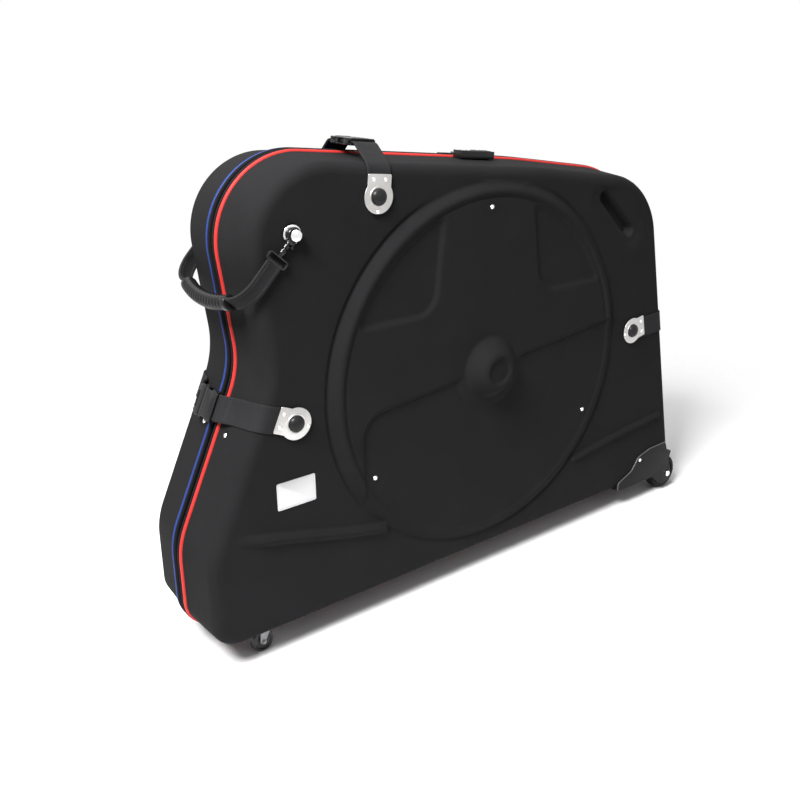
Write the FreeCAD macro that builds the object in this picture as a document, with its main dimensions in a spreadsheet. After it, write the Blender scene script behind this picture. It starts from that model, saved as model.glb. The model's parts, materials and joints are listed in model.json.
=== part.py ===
import FreeCAD, Part
import math
import os
from types import SimpleNamespace

from FreeCAD import Placement, Rotation, Vector

# A two-shell travel case for a bicycle. X runs along its length, Y across its depth
# and Z up from the floor. The near half is at -Y, and the far half mirrors it.

SIZES = {
    # Seam outline, from the floor and from the middle of the case
    "base_height": 50, "tail_reach": 596, "tail_height": 217, "neck_reach": 466,
    "neck_height": 505, "crown_reach": 508, "crown_height": 863, "bend_reach": 130,
    "bend_drop": 63, "bend_height": "=crown_height - bend_drop", "shoulder_reach": 454,
    "shoulder_drop": 112, "shoulder_height": "=crown_height - shoulder_drop", "nose_reach": 583,
    "tail_corner": 55, "tail_round": 150, "neck_round": 160, "crown_round": 140,
    "bend_round": 1500, "shoulder_round": 160, "nose_corner": 60,
    # Half shell
    "face_depth": 115, "rim_gap": 19, "wall": 6, "draft": 9, "face_fillet": 20,
    "disc_radius": 347, "disc_x": -10, "disc_z": 433, "disc_rise": 10, "disc_slope": 14,
    "disc_band": 31, "panel_depth": 4, "panel_round": 40, "bar_top_half": 104,
    "bar_foot_half": 127, "bar_top_z": 749, "bar_foot_z": 559, "hub_line_rise": 6.4,
    "low_panel_left": 285, "boss_base": 120, "boss_top": 70, "boss_rise": 28,
    "boss_round": 7, "dish_width": 50, "dish_depth": 3, "boss_wall": 8,
    "rib_width": 20, "rib_rise": 7, "left_rib_end": 66, "right_rib_end": 60,
    "slot_width": 28, "slot_depth": 24, "eye_recess": 2.5, "eye_round": 10,
    # Seam
    "piping_diameter": 8, "tape_thickness": 1.2, "tape_sink": 4.3,
    "tape_gap": 0.4, "coil_width": 2.8, "coil_height": 2.4,
    # Straps, their plates and buckles
    "strap_width": 46, "strap_thickness": 2.5, "strap_bend": 14,
    "strap_tail": 12, "plate_diameter": 56,
    "plate_reach": 37, "plate_thickness": 2, "plate_corner": 3, "stud_diameter": 29,
    "stud_height": 9, "top_strap_x": -243, "top_stud_inset": 61.5, "top_strap_rise": 21,
    "top_strap_corner": 13, "top_strap_lead": 70, "side_strap_lead": 31, "strap_room": 7,
    "strap_climb": 20, "strap_gap": 0.4,
    "left_wall_skew": 16, "left_face_skew": 6, "right_wall_skew": -4, "right_face_skew": -18,
    "left_strap_z": 434, "left_stud_inset": 73.5, "right_strap_z": 424,
    "right_stud_inset": 110.7, "side_strap_rise": 14,
    "buckle_width": 54, "buckle_thickness": 12, "top_buckle_near": 64, "side_buckle_near": 12,
    "socket_length": 42,
    "buckle_base": 22, "buckle_wall": 2.5, "prong_length": 25, "prong_width": 9,
    "window_reach": 24, "window_length": 15,
    "tongue_width": 14, "prong_gap": 1, "strap_grip": 8,
    # Rivets and the plain plate
    "rivet_head": 9, "rivet_height": 2.6, "rivet_shank": 4, "rivet_ring": 303,
    "rivet_wall_z": 402, "rivet_wall_y": 40, "plate_rivet": 7, "plate_rivet_x": 11.5,
    "plate_rivet_inset": 9, "tip_rivet_inset": 4, "label_width": 73, "label_height": 49,
    "label_corner": 3, "label_thickness": 1, "label_x": -427, "label_z": 301,
    # Handle
    "eye_inset": 100, "eye_x": "=eye_inset - crown_reach", "eye_drop": 130,
    "eye_z": "=crown_height - eye_drop", "eye_base": 32, "eye_base_height": 3, "eye_stem": 13,
    "eye_stem_height": 9, "eye_head": 20, "eye_head_height": 5, "hook_clearance": 0.3,
    "hook_ring": 25, "hook_thickness": 7, "hook_length": 44, "hook_shank": 9,
    "hook_bar": 38, "hook_bar_height": 10, "handle_drop": 47.3, "handle_radius": 137,
    "handle_strap_width": 30, "handle_strap_bend": 42, "grip_length": 154,
    "grip_diameter": 28, "grip_bow": 11, "grip_hole": 0.5,
    # Rear wheels and their corner covers
    "wheel_inset": 23, "wheel_x": "=nose_reach - wheel_inset", "wheel_radius": 40,
    "wheel_width": 30, "wheel_y": 93, "rim_radius": 29,
    "hub_radius": 11, "axle_diameter": 8, "axle_play": 0.05, "axle_head": 14,
    "axle_head_height": 4, "cover_thickness": 3, "notch_reach": 55,
    "notch_x": "=wheel_x - notch_reach", "notch_z": 96,
    "wheel_side_gap": 4, "cover_reach": 174, "cover_left": "=wheel_x - cover_reach",
    "cover_low": 46, "cover_top": 125, "cover_end": 22, "cover_right": "=wheel_x + cover_end",
    "lobe_radius": 22, "cover_lean": 36, "cover_round": 11, "cover_foot_round": 7,
    "hub_web": 5, "hub_end_gap": 0.75,
    # Front casters
    "caster_inset": 116, "caster_x": "=caster_inset - tail_reach", "caster_y": 76,
    "caster_plate": 38, "caster_plate_thickness": 3,
    "caster_wheel_radius": 20, "caster_wheel_width": 15, "caster_trail": 11,
    "fork_gap": 0.8, "fork_cheek": 2, "fork_width": 22, "race_radius": 12,
    "caster_gap": 0.2, "caster_pin": 5, "cheek_reach": 7, "cheek_step": 6, "fork_back": 5.5,
    "tread_round": 3,
    # Lock, zipper sliders and pulls
    "lock_x": -16, "lock_length": 78, "lock_width": 26, "lock_height": 14, "lock_y": 20,
    "dial_radius": 5, "dial_width": 4, "dial_pitch": 7, "dial_gap": 0.3, "dial_show": 1.6,
    "dial_pin": 2, "button_length": 12, "button_width": 8, "button_show": 1.5,
    "button_travel": 3, "slider_length": 20, "slider_width": 10, "slider_low": 1.4,
    "slider_high": 4.2, "pull_length": 34, "pull_width": 9, "pull_thickness": 2,
    "pull_gap": 0.4, "pull_pin": 2.4, "pull_eye": 4.2, "pull_ear": 1.6, "pull_notch": 3,
    "notch_depth": 12, "left_slider_x": 0, "slider_space": 2,
    # Inside
    "gusset_left": 530, "gusset_right": 515, "inner_strap_width": 40,
    "inner_strap_thickness": 2, "inner_strap_x": 200, "inner_strap_low": 112,
    "inner_strap_high": 745,
    # One overrun for every cut
    "overrun": 5,
}

# Places along the ribs as shares of the way from the disc to the end of the case,
# and their heights as shares of the disc's centre height.
LEFT_RIB_X_SHARES = (0.0, 0.28, 0.60, 1.0)
LEFT_RIB_Z_SHARES = (0.404, 0.442, 0.496, 0.560)
RIGHT_RIB_X_SHARES = (0.0, 0.45, 1.0)
RIGHT_RIB_Z_SHARES = (0.395, 0.434, 0.470)
# Ends of the hand-hold slot, from the disc's centre in disc radii.
SLOT_START_SHARES = (0.893, 0.833)
SLOT_END_SHARES = (1.118, 0.611)
# Corners of the shallow field round the handle eye, from the eye in neck rounds.
EYE_FIELD_SHARES = ((0.11, -0.09), (-0.33, 0.07), (-0.17, 0.29))
# Corners of the wheel cover between its left, low, right and top edges.
COVER_FOOT_SHARE = 0.24
COVER_BEND_SHARES = (0.225, 0.48)
COVER_KNEE_SHARES = (0.337, 0.848)
COVER_HIP_SHARES = (0.53, 0.98)
# Where the ribs start on the disc, in disc radii.
RIB_ROOT_SHARE = 0.7
# Radii of the sunk ring in a caster wheel's flank, in wheel radii.
FLANK_SHARES = (0.45, 0.5, 0.72, 0.78)
# Names of the dials in the lock, and the distance below which two points are the same.
DIAL_NAMES = ("1", "2", "3")
DIALS = len(DIAL_NAMES)
TINY = 0.001

doc = FreeCAD.newDocument("bike_travel_case")
sheet = doc.addObject("Spreadsheet::Sheet", "sizes")
for row, (alias, value) in enumerate(SIZES.items(), 1):
    sheet.set(f"A{row}", alias)
    sheet.set(f"B{row}", str(value))
    sheet.setAlias(f"B{row}", alias)
doc.recompute()
s = SimpleNamespace(**{alias: float(sheet.get(alias)) for alias in SIZES})
nodes = []


# Document helpers

def named(obj, label):
    """Give an object the label of its sub-part and list it for writing."""
    obj.Label = label
    nodes.append(obj)
    return obj


def feature(name, shape):
    """A document object that carries a shape made here."""
    obj = doc.addObject("Part::Feature", name)
    obj.Shape = shape
    return obj


def box(name, length, width, height, place):
    """A block whose three sizes are expressions in the sheet's aliases."""
    obj = doc.addObject("Part::Box", name)
    obj.setExpression("Length", length)
    obj.setExpression("Width", width)
    obj.setExpression("Height", height)
    obj.Placement = place
    return obj


def cylinder(name, radius, height, place):
    """A round bar whose sizes are expressions in the sheet's aliases."""
    obj = doc.addObject("Part::Cylinder", name)
    obj.setExpression("Radius", radius)
    obj.setExpression("Height", height)
    obj.Placement = place
    return obj


def joined(name, objects):
    """One solid from several."""
    obj = doc.addObject("Part::MultiFuse", name)
    obj.Shapes = objects
    obj.Refine = True
    return obj


def cut(name, base, tools):
    """A solid with others taken out of it."""
    tool = tools[0] if len(tools) == 1 else joined(name + "_tools", tools)
    obj = doc.addObject("Part::Cut", name)
    obj.Base = base
    obj.Tool = tool
    return obj


def mirrored(source, label):
    """The far half's copy of a near piece."""
    obj = doc.addObject("Part::Mirroring", label)
    obj.Source = source
    obj.Normal = Vector(0, 1, 0)
    return named(obj, label)


def pair(source, name):
    """The near piece and its mirror image, each a node."""
    named(source, "near_" + name)
    mirrored(source, "far_" + name)


def origin_plane(body, role):
    """A body's own origin plane."""
    return next(plane for plane in body.Origin.OriginFeatures if plane.Role == role)


def sketch_on(body, role, curves):
    """A sketch with closed curves on one of the body's origin planes."""
    sketch = body.newObject("Sketcher::SketchObject", body.Name + "_sketch")
    sketch.AttachmentSupport = [(origin_plane(body, role), "")]
    sketch.MapMode = "FlatFace"
    sketch.addGeometry(curves, False)
    return sketch


def turned(name, profile, place):
    """A body of revolution from corners given as radius, height and rounding."""
    body = doc.addObject("PartDesign::Body", name)
    sketch = sketch_on(body, "XZ_Plane", rounded(profile))
    turn = body.newObject("PartDesign::Revolution", name + "_turn")
    turn.Profile = sketch
    turn.ReferenceAxis = (sketch, ["V_Axis"])
    turn.Angle = 360
    body.Placement = place
    return body


def padded(name, corners, depth, place):
    """A plate body from rounded corners, as thick as a cell of the sheet."""
    body = doc.addObject("PartDesign::Body", name)
    sketch = sketch_on(body, "XY_Plane", rounded(corners))
    pad = body.newObject("PartDesign::Pad", name + "_pad")
    pad.Profile = sketch
    pad.setExpression("Length", depth)
    body.Placement = place
    return body


# Outlines

def rounded(corners):
    """Lines and arcs round corners given as x, y and radius, in the XY plane."""
    ends = []
    count = len(corners)
    for i, (x, y, radius) in enumerate(corners):
        here = Vector(x, y, 0)
        back = Vector(*corners[i - 1][:2], 0) - here
        ahead = Vector(*corners[(i + 1) % count][:2], 0) - here
        back.normalize()
        ahead.normalize()
        if not radius:
            ends.append((here, None, here))
            continue
        half = back.getAngle(ahead) / 2
        run = radius / math.tan(half)
        middle = back + ahead
        middle.normalize()
        reach = radius / math.sin(half) - radius
        ends.append((here + back * run, here + middle * reach, here + ahead * run))
    curves = []
    for i, (start, middle, stop) in enumerate(ends):
        if middle is not None:
            curves.append(Part.Arc(start, middle, stop))
        following = ends[(i + 1) % count][0]
        if stop.distanceToPoint(following) > TINY:
            curves.append(Part.LineSegment(stop, following))
    return curves


def wire_at(corners, y):
    """A closed wire round x, z corners, upright at a depth y."""
    wire = Part.Wire([curve.toShape() for curve in rounded(corners)])
    wire.Placement = Placement(Vector(0, y, 0), Rotation(Vector(1, 0, 0), 90))
    return wire


def prism(corners, y_from, y_to):
    """A solid with rounded x, z corners between two depths."""
    face = Part.Face(wire_at(corners, y_from))
    return face.extrude(Vector(0, y_to - y_from, 0))


OUTLINE = [
    (-s.tail_reach, s.base_height, s.tail_corner),
    (-s.tail_reach, s.tail_height, s.tail_round),
    (-s.neck_reach, s.neck_height, -s.neck_round),
    (-s.crown_reach, s.crown_height, s.crown_round),
    (s.bend_reach, s.bend_height, s.bend_round),
    (s.shoulder_reach, s.shoulder_height, s.shoulder_round),
    (s.nose_reach, s.base_height, s.nose_corner),
]
RUNS = ("heel", "tail", "neck", "top", "slope", "nose", "base")


def edge_of(run):
    """Start, direction and outward normal of one straight run of the outline."""
    index = RUNS.index(run)
    x0, z0, _ = OUTLINE[index]
    x1, z1, _ = OUTLINE[(index + 1) % len(OUTLINE)]
    along = Vector(x1 - x0, 0, z1 - z0)
    along.normalize()
    return Vector(x0, 0, z0), along, along.cross(Vector(0, 1, 0))


def inset_outline(inset, base_inset):
    """The outline moved inwards, its bottom run by an amount of its own."""
    lines = []
    for run in RUNS:
        start, along, outward = edge_of(run)
        lines.append((start - outward * (base_inset if run == "base" else inset), along))
    corners = []
    for i, (_, _, radius) in enumerate(OUTLINE):
        (p, u), (q, v) = lines[i - 1], lines[i]
        across = u.z * v.x - u.x * v.z
        step = ((q.z - p.z) * v.x - (q.x - p.x) * v.z) / across
        corners.append((p.x + u.x * step, p.z + u.z * step, abs(radius - inset)))
    return corners


def edge_place(run, x=None, z=None, y=0.0, lift=0.0):
    """A placement on a run of the outline: X along it, Y across the case, Z outwards."""
    start, along, outward = edge_of(run)
    step = (x - start.x) / along.x if x is not None else (z - start.z) / along.z
    base = start + along * step + outward * lift + Vector(0, y, 0)
    return Placement(base, Rotation(along, Vector(0, 1, 0), outward, "XYZ"))


# Half shell

def loft(low, high):
    """A solid between two like wires, with its flat sides as true planes."""
    sides = []
    for side in Part.makeLoft([low, high], True, True).Faces:
        plane = side.findPlane()
        flat = Part.Face(plane, [side.OuterWire]) if plane else side
        if flat.normalAt(0, 0).dot(side.normalAt(0, 0)) < 0:
            flat.reverse()
        sides.append(flat)
    return Part.Solid(Part.Shell(sides))


def rounded_face(solid, y, radius):
    """The solid with the edges of its flat face at depth y rounded."""
    level = [e for e in solid.Edges if abs(e.BoundBox.YMin - y) + abs(e.BoundBox.YMax - y) < TINY]
    return solid.makeFillet(radius, level)


def cone(low_radius, high_radius, y_from, y_to, x=s.disc_x, z=s.disc_z):
    """A cone about the wheel's axis, pointing to -Y."""
    return Part.makeCone(low_radius, high_radius, y_from - y_to, Vector(x, y_from, z), Vector(0, -1, 0))


def slot(width, y_from, y_to):
    """The hand-hold's long round-ended prism."""
    ends = [Vector(s.disc_x + u * s.disc_radius, y_from, s.disc_z + v * s.disc_radius)
            for u, v in (SLOT_START_SHARES, SLOT_END_SHARES)]
    depth = y_from - y_to
    solid = Part.makeCylinder(width / 2, depth, ends[0], Vector(0, -1, 0))
    solid = solid.fuse(Part.makeCylinder(width / 2, depth, ends[1], Vector(0, -1, 0)))
    along = ends[1] - ends[0]
    length = along.Length
    along.normalize()
    turn = Rotation(along, Vector(0, -1, 0), Vector(0, 0, 0), "XYZ")
    bar = Part.makeBox(length, depth, width)
    bar.Placement = Placement(ends[0] - turn.multVec(Vector(0, 0, width / 2)), turn)
    return solid.fuse(bar).removeSplitter()


def rib(x_shares, z_shares, x_from, x_to):
    """A half-round rib on the face, from the disc to the end of the case."""
    radius = (s.rib_width ** 2 / 4 + s.rib_rise ** 2) / (2 * s.rib_rise)
    y = -(s.face_depth + s.rib_rise - radius)
    points = [Vector(x_from + u * (x_to - x_from), y, s.disc_z * v)
              for u, v in zip(x_shares, z_shares)]
    solid = Part.makeSphere(radius, points[0])
    for start, stop in zip(points, points[1:]):
        run = stop - start
        solid = solid.fuse(Part.makeCylinder(radius, run.Length, start, run))
        solid = solid.fuse(Part.makeSphere(radius, stop))
    return solid


def disc_panels():
    """The three sunk fields of the wheel disc, as cutting prisms."""
    top = -(s.face_depth + s.disc_rise + s.overrun)
    floor = -(s.face_depth + s.disc_rise - s.panel_depth)
    centre = Vector(s.disc_x, floor, s.disc_z)
    inner = Part.makeCylinder(s.disc_radius - s.disc_band, floor - top, centre, Vector(0, -1, 0))
    far = s.disc_radius
    rise = math.tan(math.radians(s.hub_line_rise))
    left = (s.disc_x - far, s.disc_x + far)
    panels = []
    for side in (-1, 1):
        foot = s.disc_x + side * s.bar_foot_half
        head = s.disc_x + side * s.bar_top_half
        slope = (head - foot) / (s.bar_top_z - s.bar_foot_z)
        peak = s.disc_z + far
        corners = [
            (foot, s.bar_foot_z, s.panel_round),
            (s.disc_x + side * far, s.bar_foot_z, 0),
            (s.disc_x + side * far, peak, 0),
            (foot + slope * (peak - s.bar_foot_z), peak, 0),
        ]
        panels.append(prism(corners, floor, top).common(inner))
    edge = s.disc_x - s.low_panel_left
    corners = [
        (edge, s.disc_z - s.low_panel_left * rise, s.panel_round),
        (left[1], s.disc_z + far * rise, 0),
        (left[1], s.disc_z - far, 0),
        (edge, s.disc_z - far, 0),
    ]
    panels.append(prism(corners, floor, top))
    return panels


def wheel_notch(grow):
    """The corner taken out of the shell for a rear wheel, grown by a wall."""
    inner_y = -(s.wheel_y - s.wheel_width / 2 - s.wheel_side_gap - s.cover_thickness)
    length = s.wheel_x + s.wheel_radius + s.overrun - s.notch_x
    corner = Vector(s.notch_x - grow, -(s.face_depth + s.disc_rise), -grow)
    depth = inner_y + s.face_depth + s.disc_rise
    return Part.makeBox(length + grow, depth + grow, s.notch_z + 2 * grow, corner)


def outer_form():
    """The outside of a half shell, before anything is taken out of it."""
    face = -s.face_depth
    skin = loft(wire_at(inset_outline(0, 0), -s.rim_gap), wire_at(inset_outline(s.draft, 0), face))
    skin = rounded_face(skin, face, s.face_fillet)
    lean = s.disc_slope / s.disc_rise
    disc_top = face - s.disc_rise
    disc = cone(s.disc_radius + lean * s.wall, s.disc_radius - s.disc_slope, face + s.wall, disc_top)
    disc = rounded_face(disc, disc_top, s.disc_rise / 2)
    for panel in disc_panels():
        disc = disc.cut(panel)
    boss_top = disc_top - s.boss_rise
    spread = (s.boss_base - s.boss_top) / 2 / s.boss_rise
    sunk = s.panel_depth + s.wall / 2
    boss = cone(s.boss_base / 2 + spread * sunk, s.boss_top / 2, disc_top + sunk, boss_top)
    boss = rounded_face(boss, boss_top, s.boss_round)
    dish = cone(s.dish_width / 2 - s.dish_depth, s.dish_width / 2, boss_top + s.dish_depth, boss_top)
    form = skin.fuse(disc).fuse(boss.cut(dish))
    root = s.disc_radius * RIB_ROOT_SHARE
    left_end = s.left_rib_end - s.tail_reach
    right_end = s.nose_reach - s.right_rib_end
    form = form.fuse(rib(LEFT_RIB_X_SHARES, LEFT_RIB_Z_SHARES, s.disc_x - root, left_end))
    return form.fuse(rib(RIGHT_RIB_X_SHARES, RIGHT_RIB_Z_SHARES, s.disc_x + root, right_end))


def cavity():
    """The hollow of a half shell."""
    floor = -(s.face_depth - s.wall)
    hollow = loft(wire_at(inset_outline(s.wall, s.wall), s.overrun - s.rim_gap),
                  wire_at(inset_outline(s.wall + s.draft, s.wall), floor))
    hollow = rounded_face(hollow, floor, s.face_fillet - s.wall)
    deep = floor - (s.disc_rise - s.panel_depth)
    hollow = hollow.fuse(cone(s.disc_radius - s.wall, s.disc_radius - s.disc_slope, floor + s.wall, deep))
    end = -(s.face_depth + s.disc_rise + s.boss_rise - s.dish_depth - s.boss_wall)
    wide = s.boss_base / 2 - s.boss_wall / 2
    hollow = hollow.fuse(cone(wide, s.boss_top / 2 - s.boss_wall, deep + s.wall, end))
    hollow = hollow.cut(slot(s.slot_width + 2 * s.wall, s.slot_depth + s.wall - s.face_depth, -s.face_depth))
    return hollow.cut(wheel_notch(s.wall))


def half_shell(rivets):
    """A near half shell, with seats for its rivets."""
    form = outer_form().cut(cavity())
    form = form.cut(slot(s.slot_width, s.slot_depth - s.face_depth, -s.face_depth - s.overrun))
    field = [(s.eye_x + u * s.neck_round, s.eye_z + v * s.neck_round, s.eye_round)
             for u, v in EYE_FIELD_SHARES]
    form = form.cut(prism(field, s.eye_recess - s.face_depth, -s.face_depth - s.overrun))
    seat = Vector(s.eye_x, s.eye_recess - s.face_depth, s.eye_z)
    form = form.cut(Part.makeCylinder(s.eye_base / 2 + s.hook_clearance, s.eye_recess + s.overrun, seat,
                                      Vector(0, -1, 0)))
    form = form.cut(wheel_notch(0))
    for one in rivets:
        form = form.cut(one)
    return form.removeSplitter()


# Rivets

def rivet(head, place):
    """A domed rivet: Z points out of the surface that it sits on."""
    height = s.rivet_height
    ball = (head ** 2 / 4 + height ** 2) / (2 * height)
    dome = Part.makeSphere(ball, Vector(0, 0, height - ball))
    dome = dome.common(Part.makeCylinder(head / 2, height))
    pin = Part.makeCylinder(s.rivet_shank / 2, s.wall / 2 + height / 2, Vector(0, 0, -s.wall / 2))
    one = dome.fuse(pin).removeSplitter()
    one.Placement = place
    return one


def seated_rivet(head, place):
    """The head of a rivet alone, seated on a surface."""
    one = rivet(head, Placement())
    outside = Part.makeBox(s.rivet_head, s.rivet_head, s.rivet_height,
                           Vector(-s.rivet_head / 2, -s.rivet_head / 2, 0))
    one = one.common(outside)
    one.Placement = place
    return one


def face_place(x, z, depth):
    """A placement on the near face: Z points to -Y."""
    return Placement(Vector(x, -depth, z), Rotation(Vector(1, 0, 0), 90))


def shell_rivets():
    """Rivets through the shell: three on the disc, one on the tail wall."""
    rivets = []
    sunk = s.face_depth + s.disc_rise - s.panel_depth
    for angle, depth in ((90, s.face_depth + s.disc_rise), (-30, sunk), (-150, sunk)):
        turn = math.radians(angle)
        x = s.disc_x + s.rivet_ring * math.cos(turn)
        z = s.disc_z + s.rivet_ring * math.sin(turn)
        rivets.append(rivet(s.rivet_head, face_place(x, z, depth)))
    lean = math.degrees(math.atan2(s.draft, s.face_depth - s.rim_gap))
    drop = s.draft * (s.rivet_wall_y - s.rim_gap) / (s.face_depth - s.rim_gap)
    seat = edge_place("tail", z=s.rivet_wall_z, y=-s.rivet_wall_y, lift=-drop)
    seat = seat.multiply(Placement(Vector(0, 0, 0), Rotation(Vector(1, 0, 0), lean)))
    rivets.append(rivet(s.rivet_head, seat))
    return rivets


# Straps

STRAPS = {
    "top": SimpleNamespace(
        place=edge_place("top", x=s.top_strap_x), inset=s.top_stud_inset, rise=s.top_strap_rise, wall_skew=0,
        face_skew=0, lead=s.top_strap_lead, near=s.top_buckle_near, lies=False),
    "left": SimpleNamespace(
        place=edge_place("tail", z=s.left_strap_z), inset=s.left_stud_inset, rise=s.side_strap_rise,
        wall_skew=s.left_wall_skew, face_skew=s.left_face_skew, lead=s.side_strap_lead,
        near=s.side_buckle_near, lies=True),
    "right": SimpleNamespace(
        place=edge_place("nose", z=s.right_strap_z), inset=s.right_stud_inset, rise=s.side_strap_rise,
        wall_skew=s.right_wall_skew, face_skew=s.right_face_skew, lead=s.side_strap_lead,
        near=s.side_buckle_near, lies=True),
}


def ribbon(points, width, thickness):
    """Webbing along a path of y, z points with a bend radius, in a local YZ plane."""
    runs = []
    last = Vector(0, *points[0][:2])
    for i in range(1, len(points) - 1):
        here = Vector(0, *points[i][:2])
        back = Vector(0, *points[i - 1][:2]) - here
        ahead = Vector(0, *points[i + 1][:2]) - here
        back.normalize()
        ahead.normalize()
        half = back.getAngle(ahead) / 2
        radius = points[i][2]
        middle = back + ahead
        middle.normalize()
        start = here + back * (radius / math.tan(half))
        stop = here + ahead * (radius / math.tan(half))
        runs.append(Part.LineSegment(last, start).toShape())
        bend = here + middle * (radius / math.sin(half) - radius)
        runs.append(Part.Arc(start, bend, stop).toShape())
        last = stop
    runs.append(Part.LineSegment(last, Vector(0, *points[-1][:2])).toShape())
    first = runs[0]
    along = first.tangentAt(first.FirstParameter)
    across = along.cross(Vector(1, 0, 0))
    begin = first.valueAt(first.FirstParameter)
    side = Vector(width / 2, 0, 0)
    up = across * (thickness / 2)
    section = Part.makePolygon([begin - side - up, begin + side - up, begin + side + up,
                                begin - side + up, begin - side - up])
    return Part.Wire(runs).makePipeShell([section], True, False)


def strap_lie(y):
    """Where the middle of a strap lies on the wall, over the seam's outline."""
    fall = s.draft * (-y - s.rim_gap) / (s.face_depth - s.rim_gap)
    return s.strap_thickness / 2 + s.strap_gap - fall


def strap_shape(strap, stop, lead, lies):
    """The near half of a strap, from under its plate to where it stops in its buckle."""
    lay = -(s.face_depth + s.strap_thickness / 2)
    climb = min(-lead, stop - s.strap_grip - s.strap_room)
    corner = strap_lie(lay) if lies else -s.top_strap_corner
    points = [(lay, -strap.inset - s.strap_tail), (lay, corner, s.face_fillet + s.strap_thickness / 2)]
    if lies:
        foot = climb - s.strap_climb
        points.append((foot, strap_lie(foot), s.strap_bend))
    points += [(climb, strap.rise, s.strap_bend), (stop, strap.rise)]
    shape = ribbon(points, s.strap_width, s.strap_thickness)
    if strap.wall_skew or strap.face_skew:
        wall = strap.wall_skew / (stop - lay)
        face = strap.face_skew / (strap.rise + strap.inset)
        lean = FreeCAD.Matrix()
        lean.A12, lean.A13, lean.A14 = -wall, -face, wall * stop + face * strap.rise
        shape = shape.transformGeometry(lean)
    shape.Placement = strap.place
    return shape


def plate_shape(strap):
    """A stamped plate: a disc about its stud with a square tab towards the edge."""
    radius = s.plate_diameter / 2
    half = s.strap_width / 2
    waist = math.sqrt(radius ** 2 - half ** 2)
    arc = Part.Arc(Vector(half, waist, 0), Vector(0, -radius, 0), Vector(-half, waist, 0))
    tab = [Vector(-half, waist, 0), Vector(-half, s.plate_reach, 0),
           Vector(half, s.plate_reach, 0), Vector(half, waist, 0)]
    edges = [arc.toShape()] + [Part.LineSegment(a, b).toShape() for a, b in zip(tab, tab[1:])]
    solid = Part.Face(Part.Wire(edges)).extrude(Vector(0, 0, s.plate_thickness))
    posts = [e for e in solid.Edges if abs(e.BoundBox.YMax - s.plate_reach) + e.BoundBox.XLength
             + e.BoundBox.YLength < TINY]
    solid = solid.makeFillet(s.plate_corner, posts)
    solid.Placement = stud_place(strap)
    return solid


def stud_place(strap):
    """The top of a strap at its stud, with Z outwards."""
    stud = Vector(strap.wall_skew + strap.face_skew, -s.face_depth - s.strap_thickness, -strap.inset)
    return strap.place.multiply(Placement(stud, Rotation(Vector(1, 0, 0), 90)))


def on_plate(strap, x, y):
    """A placement on a plate's face, from its stud."""
    return stud_place(strap).multiply(Placement(Vector(x, y, s.plate_thickness), Rotation()))


def plate_rivets(strap):
    """Two rivets through a plate's tab and one at its tip, seated on the plate."""
    tab = s.plate_reach - s.plate_rivet_inset
    tip = s.tip_rivet_inset - s.plate_diameter / 2
    spots = ((-s.plate_rivet_x, tab), (s.plate_rivet_x, tab), (0, tip))
    return [seated_rivet(s.plate_rivet, on_plate(strap, x, y)) for x, y in spots]


def cover_rivet():
    """The rivet inside the knee of the wheel cover's edge."""
    across, up = COVER_KNEE_SHARES
    x = s.cover_left + across * (s.cover_right - s.cover_left) + s.rivet_head / 2
    z = s.cover_low + up * (s.cover_top - s.cover_low) - s.rivet_head
    return seated_rivet(s.rivet_head, face_place(x, z, s.face_depth + s.cover_thickness))


def build_straps():
    """Three straps a side, with plates, studs and side-release buckles."""
    plates, studs, fasteners = [], [], []
    for name, strap in STRAPS.items():
        near = strap_shape(strap, s.strap_grip - strap.near, strap.lead, strap.lies)
        named(feature(name + "_strap_near", near), f"near_{name}_strap")
        far_stop = strap.near + s.strap_grip - s.socket_length - s.prong_gap - s.buckle_base
        far = strap_shape(strap, far_stop, 0, True)
        mirrored(feature(name + "_strap_far", far), f"far_{name}_strap")
        plates.append(plate_shape(strap))
        stud = Part.makeSphere(s.stud_diameter / 2).common(
            Part.makeBox(s.stud_diameter, s.stud_diameter, s.stud_diameter,
                         Vector(-s.stud_diameter / 2, -s.stud_diameter / 2, 0)))
        flat = FreeCAD.Matrix()
        flat.scale(1, 1, 2 * s.stud_height / s.stud_diameter)
        stud = stud.transformGeometry(flat)
        stud.Placement = on_plate(strap, 0, 0)
        studs.append(stud)
        fasteners += plate_rivets(strap)
        build_buckle(name, strap)
    pair(feature("plates_near", Part.makeCompound(plates)), "anchor_plates")
    pair(feature("studs_near", Part.makeCompound(studs)), "anchor_studs")
    return fasteners


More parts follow.
